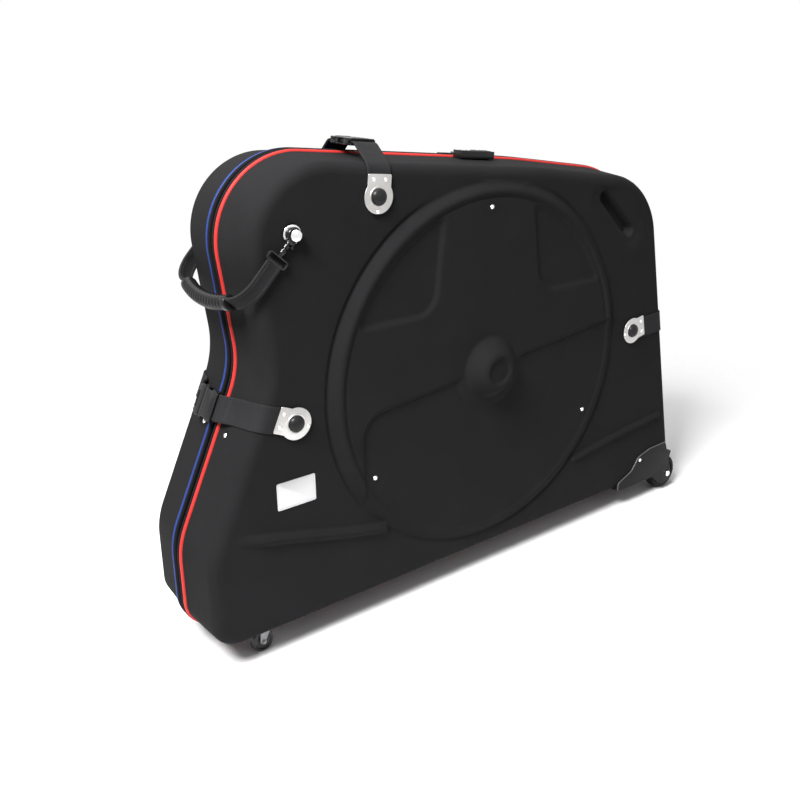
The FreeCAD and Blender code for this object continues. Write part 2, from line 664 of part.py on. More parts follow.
def build_buckle(name, strap):
    """A side-release buckle: the socket on the near strap, the prongs on the far one."""
    corner = Vector(0, -strap.near, strap.rise - s.buckle_thickness / 2)
    near = strap.place.multiply(Placement(corner, Rotation()))

    def block(part, length, width, height, x, y, z):
        seat = near.multiply(Placement(Vector(x, y, z), Rotation()))
        return box(f"{name}_{part}", length, width, height, seat)

    half = s.buckle_width / 2
    hollow = s.buckle_wall
    entry = s.strap_grip
    body = block("socket", "sizes.buckle_width", "sizes.socket_length", "sizes.buckle_thickness",
                 -half, 0, 0)
    inside = block("socket_hollow", "sizes.buckle_width - 2 * sizes.buckle_wall",
                   "sizes.socket_length - sizes.strap_grip - sizes.buckle_wall + sizes.overrun",
                   "sizes.buckle_thickness - 2 * sizes.buckle_wall",
                   hollow - half, entry + hollow, hollow)
    mouth = block("strap_mouth", "sizes.strap_width + 2 * sizes.buckle_wall",
                  "sizes.strap_grip + sizes.overrun", "sizes.strap_thickness",
                  -s.strap_width / 2 - hollow, -s.overrun,
                  (s.buckle_thickness - s.strap_thickness) / 2)
    windows = [block(f"window_{side}", "2 * sizes.buckle_wall", "sizes.window_length",
                     "sizes.buckle_thickness - 2 * sizes.buckle_wall",
                     x, s.socket_length - s.window_reach, hollow)
               for side, x in (("left", -half - hollow), ("right", half - hollow))]
    named(cut(name + "_socket_cut", body, [inside, mouth] + windows), f"near_{name}_buckle")

    seam = s.socket_length + s.prong_gap
    base = block("base", "sizes.buckle_width", "sizes.buckle_base", "sizes.buckle_thickness",
                 -half, seam, 0)
    bar_mouth = block("bar_mouth", "sizes.strap_width + 2 * sizes.buckle_wall",
                      "sizes.buckle_base + 2 * sizes.overrun", "sizes.strap_thickness",
                      -s.strap_width / 2 - hollow, seam + s.buckle_base - entry,
                      (s.buckle_thickness - s.strap_thickness) / 2)
    reach = "sizes.prong_length + sizes.prong_gap"
    thick = "sizes.buckle_thickness - 2 * sizes.buckle_wall - 2 * sizes.prong_gap"
    low = hollow + s.prong_gap
    prongs = [block("tongue", "sizes.tongue_width", reach, thick, -s.tongue_width / 2,
                    seam - s.prong_length - s.prong_gap, low)]
    for side, x in (("left", -half + hollow + s.prong_gap),
                    ("right", half - hollow - s.prong_gap - s.prong_width)):
        prongs.append(block("prong_" + side, "sizes.prong_width", reach, thick, x,
                            seam - s.prong_length - s.prong_gap, low))
    male = joined(name + "_prongs", [cut(name + "_base_cut", base, [bar_mouth])] + prongs)
    named(male, f"far_{name}_buckle")


# Seam

def build_seam():
    """Piping round each rim, a zipper half on each side and the hinge strip below."""
    radius = s.piping_diameter / 2
    y = -(s.rim_gap - radius)
    path = wire_at(inset_outline(0, 0), y)
    start = path.Edges[0].valueAt(path.Edges[0].FirstParameter)
    along = path.Edges[0].tangentAt(path.Edges[0].FirstParameter)
    ring = Part.Wire([Part.makeCircle(radius, start, along)])
    pair(feature("piping_near", path.makePipeShell([ring], True, False)), "piping")

    def band(low, high, y_from, y_to):
        outer = prism(inset_outline(high, high), y_from, y_to)
        return outer.cut(prism(inset_outline(low, low), y_from, y_to))

    sunk = s.tape_sink + s.tape_thickness
    tape = band(sunk, s.tape_sink, -s.rim_gap, -s.tape_gap)
    coil = band(s.tape_sink, s.tape_sink - s.coil_height, -s.tape_gap - s.coil_width, -s.tape_gap)
    below = Part.makeBox(s.gusset_left + s.gusset_right, s.rim_gap, sunk + 2 * s.overrun,
                         Vector(-s.gusset_left, -s.rim_gap, s.base_height - s.overrun))
    pair(feature("zipper_near", tape.fuse(coil).cut(below).removeSplitter()), "zipper_half")
    strip = Placement(Vector(-s.gusset_left, -s.rim_gap, s.base_height + s.tape_sink), Rotation())
    named(box("gusset", "sizes.gusset_left + sizes.gusset_right", "2 * sizes.rim_gap",
              "sizes.tape_thickness", strip), "hinge_gusset")


# Handle

def handle_frame():
    """Where the handle starts: X away from the eye along the strap, Y across, at the eye."""
    drop = math.radians(s.handle_drop)
    out = Vector(-math.cos(drop), 0, -math.sin(drop))
    return Placement(Vector(s.eye_x, 0, s.eye_z), Rotation(out, Vector(0, 1, 0), Vector(0, 0, 0), "XYZ"))


def build_handle():
    """Post eyes on the shells, snap hooks on the posts, straps and a bowed grip."""
    stem = s.eye_base_height + s.eye_stem_height
    floor = s.face_depth - s.eye_recess
    eye = turned("handle_eye_near", [
        (0, 0, 0), (s.eye_base / 2, 0, 0), (s.eye_base / 2, s.eye_base_height, s.eye_base_height / 2),
        (s.eye_stem / 2, s.eye_base_height, 0), (s.eye_stem / 2, stem, 0), (s.eye_head / 2, stem, 0),
        (s.eye_head / 2, stem + s.eye_head_height, s.eye_head_height / 2),
        (0, stem + s.eye_head_height, 0)],
        Placement(Vector(s.eye_x, -floor, s.eye_z), Rotation(Vector(1, 0, 0), 90)))
    pair(eye, "handle_eye")

    frame = handle_frame()
    middle = -(floor + s.eye_base_height + s.eye_stem_height / 2)
    half = s.hook_thickness / 2
    ring = Part.makeCylinder(s.hook_ring / 2, s.hook_thickness, Vector(0, middle - half, 0), Vector(0, 1, 0))
    shank = Part.makeBox(s.hook_length, s.hook_thickness, s.hook_shank,
                         Vector(0, middle - half, -s.hook_shank / 2))
    bar = Part.makeBox(s.hook_bar_height, s.hook_thickness, s.hook_bar,
                       Vector(s.hook_length, middle - half, -s.hook_bar / 2))
    hole = Part.makeCylinder(s.eye_stem / 2 + s.hook_clearance, s.hook_thickness + 2 * s.overrun,
                             Vector(0, middle - half - s.overrun, 0), Vector(0, 1, 0))
    mouth = Part.makeBox(s.hook_bar_height / 2 + s.overrun, s.strap_thickness,
                         s.handle_strap_width + s.hook_clearance,
                         Vector(s.hook_length + s.hook_bar_height / 2, middle - s.strap_thickness / 2,
                                -(s.handle_strap_width + s.hook_clearance) / 2))
    hook = ring.fuse(shank).fuse(bar).cut(hole).cut(mouth).removeSplitter()
    hook.Placement = frame
    pair(feature("hook_near", hook), "snap_hook")

    end = s.grip_length / 2
    points = [
        (middle, s.hook_length + s.hook_bar_height / 2),
        (middle, s.handle_radius, s.handle_strap_bend),
        (s.strap_grip - end, s.handle_radius),
    ]
    strap = ribbon(points, s.handle_strap_width, s.strap_thickness)
    turn = Placement(Vector(0, 0, 0), Rotation(Vector(0, 0, 1), Vector(0, 1, 0), Vector(1, 0, 0), "ZYX"))
    strap.Placement = frame.multiply(turn)
    pair(feature("handle_strap_near", strap), "handle_strap")

    arc = Part.Arc(Vector(s.handle_radius, -end, 0), Vector(s.handle_radius + s.grip_bow, 0, 0),
                   Vector(s.handle_radius, end, 0)).toShape()
    along = arc.tangentAt(arc.FirstParameter)
    section = Part.Wire([Part.makeCircle(s.grip_diameter / 2, arc.valueAt(arc.FirstParameter), along)])
    grip = Part.Wire([arc]).makePipeShell([section], True, False)
    for side in (-1, 1):
        seat = Part.makeBox(s.strap_thickness + s.grip_hole, s.strap_grip + s.overrun,
                            s.handle_strap_width + s.grip_hole)
        y = -end - s.overrun if side < 0 else end - s.strap_grip
        seat.Placement = Placement(Vector(s.handle_radius - (s.strap_thickness + s.grip_hole) / 2, y,
                                          -(s.handle_strap_width + s.grip_hole) / 2), Rotation())
        grip = grip.cut(seat)
    grip.Placement = frame
    named(feature("grip", grip), "handle_grip")


# Rear wheels

def cover_form():
    """The corner cover: a skin over the shell's corner and a lining in its notch."""
    width = s.cover_right - s.cover_left
    height = s.cover_top - s.cover_low
    lobe = s.lobe_radius
    corners = [
        (s.cover_left, s.cover_low, 0),
        (s.cover_left, s.cover_low + COVER_FOOT_SHARE * height, s.cover_foot_round),
        (s.cover_left + COVER_BEND_SHARES[0] * width, s.cover_low + COVER_BEND_SHARES[1] * height, lobe),
        (s.cover_left + COVER_KNEE_SHARES[0] * width, s.cover_low + COVER_KNEE_SHARES[1] * height, lobe),
        (s.cover_left + COVER_HIP_SHARES[0] * width, s.cover_low + COVER_HIP_SHARES[1] * height, lobe),
        (s.cover_right - s.cover_lean, s.cover_top, s.cover_round),
        (s.cover_right, s.wheel_radius - lobe, lobe),
        (s.wheel_x - lobe, s.wheel_radius - lobe, lobe),
        (s.notch_x, s.cover_low, s.cover_round),
    ]
    front = -(s.face_depth + s.cover_thickness)
    inner_y = -(s.wheel_y - s.wheel_width / 2 - s.wheel_side_gap - s.cover_thickness)
    blank = prism(corners, front, inner_y)
    lining = wheel_notch(0).common(prism(inset_outline(0, 0), front, inner_y))
    return blank, lining


def wheel_room():
    """The open space that a rear wheel turns in, out to the floor and the end."""
    low_y = -(s.wheel_y + s.wheel_width / 2 + s.wheel_side_gap)
    depth = s.wheel_width + 2 * s.wheel_side_gap
    corner = Vector(s.notch_x + s.cover_thickness, low_y, -s.overrun)
    length = s.wheel_x + s.wheel_radius + 2 * s.overrun - corner.x
    return Part.makeBox(length, depth, s.notch_z - s.cover_thickness + s.overrun, corner)


def build_rear_wheels(form):
    """A tyre, hub and axle in a moulded corner cover, on each half."""
    blank, lining = cover_form()
    cover = blank.cut(form).fuse(lining).cut(wheel_room())
    bore = Part.makeCylinder(s.axle_diameter / 2, s.face_depth, Vector(s.wheel_x, 0, s.wheel_radius),
                             Vector(0, -1, 0))
    through = Part.makeCylinder(s.axle_diameter / 2, 2 * s.face_depth,
                                Vector(s.wheel_x, 0, s.wheel_radius), Vector(0, -1, 0))
    cover = cover.cut(bore).cut(through)
    pieces = sorted(cover.Solids, key=lambda solid: solid.Volume)
    pair(feature("cover_near", pieces[-1]), "wheel_housing")

    outer = s.face_depth + s.cover_thickness
    inner = s.wheel_y - s.wheel_width / 2 - s.wheel_side_gap - s.cover_thickness
    length = outer - inner
    axle = turned("axle_near", [
        (0, 0, 0), (s.axle_diameter / 2, 0, 0), (s.axle_diameter / 2, length, 0),
        (s.axle_head / 2, length, 0),
        (s.axle_head / 2, length + s.axle_head_height, s.axle_head_height / 2),
        (0, length + s.axle_head_height, 0)],
        Placement(Vector(s.wheel_x, -inner, s.wheel_radius), Rotation(Vector(1, 0, 0), 90)))
    pair(axle, "wheel_axle")

    half = s.wheel_width / 2
    bore_radius = s.axle_diameter / 2 + s.axle_play
    hub_half = half + s.wheel_side_gap - s.hub_end_gap
    web = s.hub_web
    seat = Placement(Vector(s.wheel_x, -s.wheel_y, s.wheel_radius), Rotation(Vector(1, 0, 0), 90))
    hub = turned("hub_near", [
        (bore_radius, -hub_half, 0), (s.hub_radius, -hub_half, 0), (s.hub_radius, -web, 0),
        (s.rim_radius - web, -web, 0), (s.rim_radius - web, -half + web, 0), (s.rim_radius, -half + web, 0),
        (s.rim_radius, half - web, 0), (s.rim_radius - web, half - web, 0), (s.rim_radius - web, web, 0),
        (s.hub_radius, web, 0), (s.hub_radius, hub_half, 0), (bore_radius, hub_half, 0)], seat)
    pair(hub, "rear_hub")
    crown = (s.wheel_radius - s.rim_radius) / 2
    tyre = turned("tyre_near", [
        (s.rim_radius, -half, 0), (s.wheel_radius, -half, crown), (s.wheel_radius, half, crown),
        (s.rim_radius, half, 0)], seat)
    pair(tyre, "rear_tyre")


# Front casters

def build_casters():
    """A swivel caster under the tail of each half."""
    plate_low = s.base_height - s.caster_plate_thickness
    half = s.caster_plate / 2
    plate = box("caster_plate_block", "sizes.caster_plate", "sizes.caster_plate",
                "sizes.caster_plate_thickness",
                Placement(Vector(s.caster_x - half, -s.caster_y - half, plate_low), Rotation()))
    crown_top = 2 * s.caster_wheel_radius + s.fork_gap + s.fork_cheek
    race = cylinder("caster_race", "sizes.race_radius",
                    "sizes.base_height - sizes.caster_plate_thickness - 2 * sizes.caster_wheel_radius"
                    " - sizes.fork_gap - sizes.fork_cheek - sizes.caster_gap",
                    Placement(Vector(s.caster_x, -s.caster_y, crown_top + s.caster_gap), Rotation()))
    pair(joined("caster_mount", [plate, race]), "caster_plate")

    axle = Vector(s.caster_x - s.caster_trail, -s.caster_y, s.caster_wheel_radius)
    inside = s.caster_wheel_width / 2 + s.fork_gap
    outside = inside + s.fork_cheek
    crown = Part.makeCylinder(s.fork_width / 2, s.fork_cheek,
                              Vector(s.caster_x, -s.caster_y, crown_top - s.fork_cheek))
    bridge = Part.makeBox(s.caster_trail + s.fork_width / 2, 2 * outside, s.fork_cheek,
                          Vector(axle.x - s.fork_back, axle.y - outside, crown_top - s.fork_cheek))
    fork = crown.fuse(bridge)
    cheek_corners = [
        (axle.x, axle.z - s.caster_pin, s.caster_pin - s.fork_gap),
        (axle.x + s.fork_width / 2, crown_top - s.cheek_step, s.fork_cheek),
        (axle.x - s.fork_back + s.caster_trail + s.fork_width / 2, crown_top, 0),
        (axle.x - s.fork_back, crown_top, 0),
        (axle.x - s.cheek_reach, axle.z, s.caster_pin),
    ]
    for y in (axle.y - outside, axle.y + inside):
        fork = fork.fuse(prism(cheek_corners, y, y + s.fork_cheek))
    pin = Part.makeCylinder(s.caster_pin / 2, 2 * outside + 2 * s.fork_gap,
                            axle - Vector(0, outside + s.fork_gap, 0), Vector(0, 1, 0))
    pair(feature("fork_near", fork.fuse(pin).removeSplitter()), "caster_fork")

    flank = s.caster_wheel_width / 2
    bore = s.caster_pin / 2 + s.axle_play
    lip = s.fork_cheek
    hub, ring_in, ring_out, rim = [share * s.caster_wheel_radius for share in FLANK_SHARES]
    wheel = turned("caster_wheel_near", [
        (bore, -flank, 0), (hub, -flank, 0), (ring_in, lip - flank, 0), (ring_out, lip - flank, 0),
        (rim, -flank, 0), (s.caster_wheel_radius, -flank, s.tread_round),
        (s.caster_wheel_radius, flank, s.tread_round), (rim, flank, 0), (ring_out, flank - lip, 0),
        (ring_in, flank - lip, 0), (hub, flank, 0), (bore, flank, 0)],
        Placement(axle, Rotation(Vector(1, 0, 0), 90)))
    pair(wheel, "caster_wheel")


# Lock, sliders and pulls

def build_lock():
    """A three-dial lock on the near top wall, with two notches that take the zipper pulls."""
    corner = edge_place("top", x=s.lock_x, y=-s.lock_y - s.lock_width)

    def at(x, y, z, turn=Rotation()):
        return corner.multiply(Placement(Vector(x, y, z), turn))

    body = box("lock_block", "sizes.lock_length", "sizes.lock_width", "sizes.lock_height", at(0, 0, 0))
    tools = []
    axis_z = s.lock_height + s.dial_show - s.dial_radius
    dial_y = s.lock_width / 2
    first = s.lock_length - (DIALS + 1) * s.dial_pitch
    along = Rotation(Vector(0, 1, 0), 90)
    for i, number in enumerate(DIAL_NAMES):
        x = first + i * s.dial_pitch
        seat = at(x - s.dial_gap, dial_y, axis_z, along)
        tools.append(cylinder(f"dial_seat_{number}", "sizes.dial_radius + sizes.dial_gap",
                              "sizes.dial_width + 2 * sizes.dial_gap", seat))
        dial = cylinder(f"dial_disc_{number}", "sizes.dial_radius", "sizes.dial_width",
                        at(x, dial_y, axis_z, along))
        bore = cylinder(f"dial_bore_{number}", "sizes.dial_pin / 2 + sizes.axle_play",
                        "sizes.dial_width + 2 * sizes.overrun", at(x - s.overrun, dial_y, axis_z, along))
        named(cut(f"dial_cut_{number}", dial, [bore]), f"lock_dial_{number}")
    button_x = first - s.dial_pitch - s.button_length
    button_y = (s.lock_width - s.button_width) / 2
    deep = s.button_travel + s.button_show
    tools.append(box("button_seat", "sizes.button_length + 2 * sizes.dial_gap",
                     "sizes.button_width + 2 * sizes.dial_gap",
                     "2 * sizes.button_travel + sizes.button_show",
                     at(button_x - s.dial_gap, button_y - s.dial_gap, s.lock_height - deep)))
    named(box("button", "sizes.button_length", "sizes.button_width",
              "sizes.button_travel", at(button_x, button_y, s.lock_height - s.button_show)), "lock_button")
    for number in range(2):
        x = s.pull_notch + number * (s.pull_width + 2 * s.pull_notch)
        tools.append(box(f"pull_notch_{number + 1}", "sizes.pull_width", "sizes.notch_depth + sizes.overrun",
                         "sizes.lock_height", at(x, s.lock_width - s.notch_depth, s.slider_high)))
    seam_y = s.lock_y + s.lock_width
    build_slider("left", s.left_slider_x - s.lock_x, seam_y, at)
    build_slider("right", s.left_slider_x + s.slider_length + s.slider_space - s.lock_x, seam_y, at)
    hollowed = cut("lock_hollowed", body, tools)
    shaft = cylinder("dial_shaft", "sizes.dial_pin / 2", f"{DIALS + 1} * sizes.dial_pitch",
                     at(first - s.dial_pitch / 2, dial_y, axis_z, along))
    named(joined("lock_with_shaft", [hollowed, shaft]), "lock_body")


def build_slider(side, x, seam_y, at):
    """A zipper slider over the coil, with a bridge that holds its pull."""
    half = s.slider_width / 2
    block = box("slider_block_" + side, "sizes.slider_length", "sizes.slider_width",
                "sizes.slider_high + sizes.slider_low",
                at(x - s.slider_length / 2, seam_y - half, -s.slider_low))
    pin_z = s.slider_high + s.pull_gap + s.pull_eye / 2
    across = Rotation(Vector(1, 0, 0), -90)
    eye_half = s.slider_width / 2 - s.pull_ear - s.pull_gap
    pin = cylinder("slider_pin_" + side, "sizes.pull_pin / 2", "sizes.slider_width",
                   at(x, seam_y - half, pin_z, across))
    ears = []
    for name, start in (("near", -half), ("far", half - s.pull_ear)):
        ears.append(box(f"slider_ear_{side}_{name}", "sizes.pull_eye", "sizes.pull_ear",
                        "sizes.pull_gap + sizes.pull_eye",
                        at(x - s.pull_eye / 2, seam_y + start, s.slider_high)))
    named(joined("slider_" + side, [block, pin] + ears), side + "_slider")
    neck = s.slider_length / 2
    tab_x = x - s.pull_length if side == "left" else x + neck
    neck_x = x - neck - s.overrun if side == "left" else x + s.pull_pin / 2
    low = s.slider_high + s.pull_gap
    tab = box("pull_tab_" + side, "sizes.pull_length - sizes.slider_length / 2", "sizes.pull_width",
              "sizes.pull_thickness", at(tab_x, seam_y - s.pull_width / 2, low))
    arm = box("pull_arm_" + side, "sizes.slider_length / 2 + sizes.overrun - sizes.pull_pin / 2",
              "sizes.slider_width - 2 * sizes.pull_ear - 2 * sizes.pull_gap", "sizes.pull_thickness",
              at(neck_x, seam_y - eye_half, low))
    eye = cylinder("pull_eye_" + side, "sizes.pull_eye / 2",
                   "sizes.slider_width - 2 * sizes.pull_ear - 2 * sizes.pull_gap",
                   at(x, seam_y - eye_half, pin_z, across))
    bore = cylinder("pull_bore_" + side, "sizes.pull_pin / 2 + sizes.axle_play",
                    "sizes.slider_width + 2 * sizes.overrun",
                    at(x, seam_y - half - s.overrun, pin_z, across))
    named(cut("pull_" + side, joined("pull_blank_" + side, [tab, arm, eye]), [bore]), side + "_pull")


# Trim and inside

def build_trim():
    """The bare plate on the near face and the straps inside each half."""
    seat = Placement(Vector(s.label_x, -s.face_depth, s.label_z), Rotation(Vector(1, 0, 0), 90))
    half_width, half_height = s.label_width / 2, s.label_height / 2
    corner = s.label_corner
    named(padded("nameplate_body", [
        (-half_width, -half_height, corner), (half_width, -half_height, corner),
        (half_width, half_height, corner), (-half_width, half_height, corner)],
        "sizes.label_thickness", seat), "nameplate")
    floor = s.wall - s.face_depth
    straps = []
    for side in (-1, 1):
        place = Placement(Vector(s.disc_x + side * s.inner_strap_x - s.inner_strap_width / 2, floor,
                                 s.inner_strap_low), Rotation())
        straps.append(box("inner_strap_" + ("left" if side < 0 else "right"), "sizes.inner_strap_width",
                          "sizes.inner_strap_thickness", "sizes.inner_strap_high - sizes.inner_strap_low",
                          place))
    group = doc.addObject("Part::Compound", "inner_straps")
    group.Links = straps
    pair(group, "wheel_straps")


def build_case():
    """Every sub-part of the case."""
    through = shell_rivets()
    form = outer_form()
    pair(feature("shell_near", half_shell(through)), "shell")
    build_seam()
    fasteners = build_straps()
    pair(feature("rivets_near", Part.makeCompound(through + fasteners + [cover_rivet()])), "rivets")
    build_handle()
    build_rear_wheels(form)
    build_casters()
    build_lock()
    build_trim()


build_case()
doc.recompute()

failed = [obj.Name for obj in doc.Objects if "Invalid" in obj.State or "Error" in obj.State]
if failed:
    raise RuntimeError("failed objects: " + ", ".join(failed))
for node in nodes:
    if node.Shape.isNull() or not node.Shape.isValid():
        raise RuntimeError("bad shape: " + node.Label)
os.makedirs("parts", exist_ok=True)
for node in nodes:
    node.Shape.exportStep(f"parts/{node.Label}.step")
    print(f"{node.Label}: {len(node.Shape.Solids)} solids, {node.Shape.Volume:.1f} mm3")
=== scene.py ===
"""Looks of a two-shell bike travel case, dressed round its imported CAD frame."""

import json
import logging
import math
from dataclasses import dataclass
from enum import Enum
from typing import Callable, Dict, Iterable, List, Optional, Sequence, Tuple

import bmesh
import bpy
import numpy as np
from mathutils import Matrix, Vector

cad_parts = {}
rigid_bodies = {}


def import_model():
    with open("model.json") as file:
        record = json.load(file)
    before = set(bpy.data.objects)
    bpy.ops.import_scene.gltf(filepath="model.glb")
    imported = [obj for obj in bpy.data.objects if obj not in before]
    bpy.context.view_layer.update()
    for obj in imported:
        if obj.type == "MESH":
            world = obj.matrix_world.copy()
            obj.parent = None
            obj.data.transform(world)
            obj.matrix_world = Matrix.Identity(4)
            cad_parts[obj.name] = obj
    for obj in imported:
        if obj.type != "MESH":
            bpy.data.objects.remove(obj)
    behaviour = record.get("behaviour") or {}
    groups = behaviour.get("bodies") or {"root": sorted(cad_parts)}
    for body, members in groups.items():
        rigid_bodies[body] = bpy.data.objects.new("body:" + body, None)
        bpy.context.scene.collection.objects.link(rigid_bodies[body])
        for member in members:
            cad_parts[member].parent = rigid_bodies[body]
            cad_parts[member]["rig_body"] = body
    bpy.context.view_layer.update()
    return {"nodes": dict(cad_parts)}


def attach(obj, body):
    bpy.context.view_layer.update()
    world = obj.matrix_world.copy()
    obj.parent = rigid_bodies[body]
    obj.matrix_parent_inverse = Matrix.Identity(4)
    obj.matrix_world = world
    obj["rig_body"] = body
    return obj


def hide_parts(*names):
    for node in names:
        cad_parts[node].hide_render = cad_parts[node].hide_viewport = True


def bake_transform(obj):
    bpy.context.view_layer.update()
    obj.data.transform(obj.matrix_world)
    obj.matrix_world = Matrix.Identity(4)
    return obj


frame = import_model()
MM = 0.001
QUARTER_TURN = math.pi / 2
PATH_STEP = 3.0
ALONG, ACROSS, OUTWARDS = (1, 0, 0), (0, 1, 0), (0, -1, 0)
LOG = logging.getLogger("bike_travel_case")

Colour = Tuple[float, float, float]
Point = Tuple[float, float]
Corner = Tuple[float, float, float]
Bar = Tuple[Corner, Corner, float]
Relief = Callable[[np.ndarray, np.ndarray], np.ndarray]
Mesh = bmesh.types.BMesh
Edges = List[bmesh.types.BMEdge]
Tree = bpy.types.NodeTree
Socket = bpy.types.NodeSocket


class Half(Enum):
    """The two halves of the case, each with the sign of its side of the seam."""

    NEAR = -1
    FAR = 1

    @property
    def prefix(self) -> str:
        """Start of the names of this half's nodes."""
        return "near" if self is Half.NEAR else "far"

    @property
    def body(self) -> str:
        """CAD body that this half's fixed pieces ride on."""
        return self.prefix + "_half"


class Grain(Enum):
    """Surface structures that a finish can carry."""

    THREADS = "threads"
    MOULDED = "moulded"
    BRUSHED = "brushed"
    SPECKLED = "speckled"


class Effect(Enum):
    """Surface effects that materials share, with the inputs that each takes beside its place."""

    THREAD_BANDS = ("Scale",)
    FINE_GRAIN = ("Scale", "Stretch")
    BLOTCHES = ("Height",)


@dataclass(frozen=True)
class Finish:
    """A surface finish: colour, gloss and the structure that breaks them up."""

    name: str
    slot: str
    colour: Colour
    grain: Grain
    roughness: float
    metallic: float = 0.0
    pitch: float = 1.6
    relief: float = 0.15
    mottle: float = 0.12
    coat: float = 0.0
    specular: float = 0.5


class Finishes:
    """Every finish on the case."""

    SHELL = Finish("shell_cloth", "shell_fabric", (0.0132, 0.0131, 0.0138), Grain.THREADS, 0.78, pitch=1.7,
                   relief=0.22, mottle=0.14, specular=0.04)
    RED = Finish("red_piping_cloth", "red_piping", (0.46, 0.028, 0.024), Grain.THREADS, 0.5, pitch=1.4,
                 relief=0.1, specular=0.2)
    BLUE = Finish("blue_piping_cloth", "blue_piping", (0.018, 0.038, 0.18), Grain.THREADS, 0.5, pitch=1.4,
                  relief=0.1, specular=0.15)
    TAPE = Finish("zipper_tape_cloth", "zipper_tape", (0.009, 0.009, 0.010), Grain.THREADS, 0.7, pitch=1.0,
                  specular=0.12)
    COIL = Finish("zipper_coil", "zipper_tape", (0.02, 0.02, 0.021), Grain.MOULDED, 0.35, specular=0.3)
    WEBBING = Finish("strap_webbing", "webbing", (0.0165, 0.0165, 0.0175), Grain.THREADS, 0.62, pitch=1.8,
                     relief=0.3, specular=0.08)
    INNER = Finish("inner_webbing", "inner_webbing", (0.03, 0.03, 0.03), Grain.THREADS, 0.75, specular=0.2)
    THREAD = Finish("strap_thread", "webbing", (0.035, 0.035, 0.037), Grain.THREADS, 0.6, pitch=1.0, specular=0.2)
    BUCKLE = Finish("buckle_moulding", "buckle_plastic", (0.007, 0.007, 0.0075), Grain.MOULDED, 0.2, specular=0.2)
    PLATE = Finish("stamped_plate", "plate_steel", (0.52, 0.51, 0.495), Grain.BRUSHED, 0.3, metallic=1.0)
    STUD = Finish("stud_moulding", "stud_plastic", (0.008, 0.008, 0.0085), Grain.SPECKLED, 0.3, specular=0.22)
    RIVET = Finish("rivet_steel", "rivet_steel", (0.9, 0.9, 0.89), Grain.BRUSHED, 0.16, metallic=1.0)
    FORK = Finish("fork_plating", "bright_metal", (0.17, 0.17, 0.175), Grain.BRUSHED, 0.35, metallic=1.0)
    BRIGHT = Finish("bright_plating", "bright_metal", (0.78, 0.78, 0.79), Grain.BRUSHED, 0.12, metallic=1.0)
    HOOK = Finish("hook_coating", "hook_metal", (0.006, 0.006, 0.0065), Grain.MOULDED, 0.16, specular=0.3)
    GRIP = Finish("grip_moulding", "grip_rubber", (0.007, 0.007, 0.0075), Grain.MOULDED, 0.22, specular=0.22)
    HOUSING = Finish("housing_moulding", "housing_plastic", (0.012, 0.012, 0.0125), Grain.MOULDED, 0.45,
                     relief=0.2, specular=0.1)
    TYRE = Finish("tyre_tread", "tyre_rubber", (0.011, 0.011, 0.011), Grain.THREADS, 0.7, specular=0.15)
    HUB = Finish("hub_moulding", "hub_plastic", (0.03, 0.03, 0.031), Grain.MOULDED, 0.4, specular=0.3)
    ROLLER = Finish("roller_moulding", "roller_plastic", (0.012, 0.012, 0.0125), Grain.MOULDED, 0.35,
                    specular=0.35)
    LOCK = Finish("lock_moulding", "lock_plastic", (0.007, 0.007, 0.0075), Grain.MOULDED, 0.16, specular=0.25)
    BUTTON = Finish("lock_button_moulding", "lock_button", (0.03, 0.03, 0.031), Grain.MOULDED, 0.25, coat=0.1)
    DIAL = Finish("dial_moulding", "dial_plastic", (0.012, 0.012, 0.012), Grain.MOULDED, 0.25, coat=0.1)
    ZIP = Finish("zipper_metal_plating", "zipper_metal", (0.16, 0.16, 0.165), Grain.BRUSHED, 0.25, metallic=1.0)
    # Near-black ring round each rivet head: painted shade where the head meets the shell.
    COLLAR = Finish("rivet_painted_shade", "shell_fabric", (0.004, 0.004, 0.004), Grain.MOULDED, 0.5, specular=0.15)
    # Lighter grey than the housing: a painted highlight along the cover's rolled edge bead.
    EDGE = Finish("cover_edge_painted_highlight", "housing_plastic", (0.08, 0.08, 0.082), Grain.MOULDED, 0.35,
                  specular=0.3)
    BARE = Finish("bare_plate_metal", "bare_plate", (0.52, 0.52, 0.525), Grain.BRUSHED, 0.34, metallic=1.0)


class Wiring:
    """Adds nodes to a tree, and feeds their inputs with sockets or plain values."""

    def __init__(self, tree: Tree) -> None:
        """Work on one node tree."""
        self.tree = tree

    def feed(self, node: bpy.types.Node, inputs: dict) -> None:
        """Link or set some of a node's inputs.

        Args:
            node: The node.
            inputs: Sockets and values by the inputs' names or numbers.
        """
        for name, value in inputs.items():
            if isinstance(value, Socket):
                self.tree.links.new(value, node.inputs[name])
            else:
                node.inputs[name].default_value = value

    def node(self, kind: str, inputs: Optional[dict] = None, **settings: object) -> bpy.types.Node:
        """A new node.

        Args:
            kind: Its type.
            inputs: Sockets and values by the inputs' names or numbers.
            settings: The node's own properties.

        Returns:
            The node.
        """
        node = self.tree.nodes.new(kind)
        for name, value in settings.items():
            setattr(node, name, value)
        self.feed(node, inputs or {})
        return node

    def maths(self, operation: str, *values: object) -> Socket:
        """The result of a Math node over sockets and numbers."""
        return self.node("ShaderNodeMath", dict(enumerate(values)), operation=operation).outputs[0]


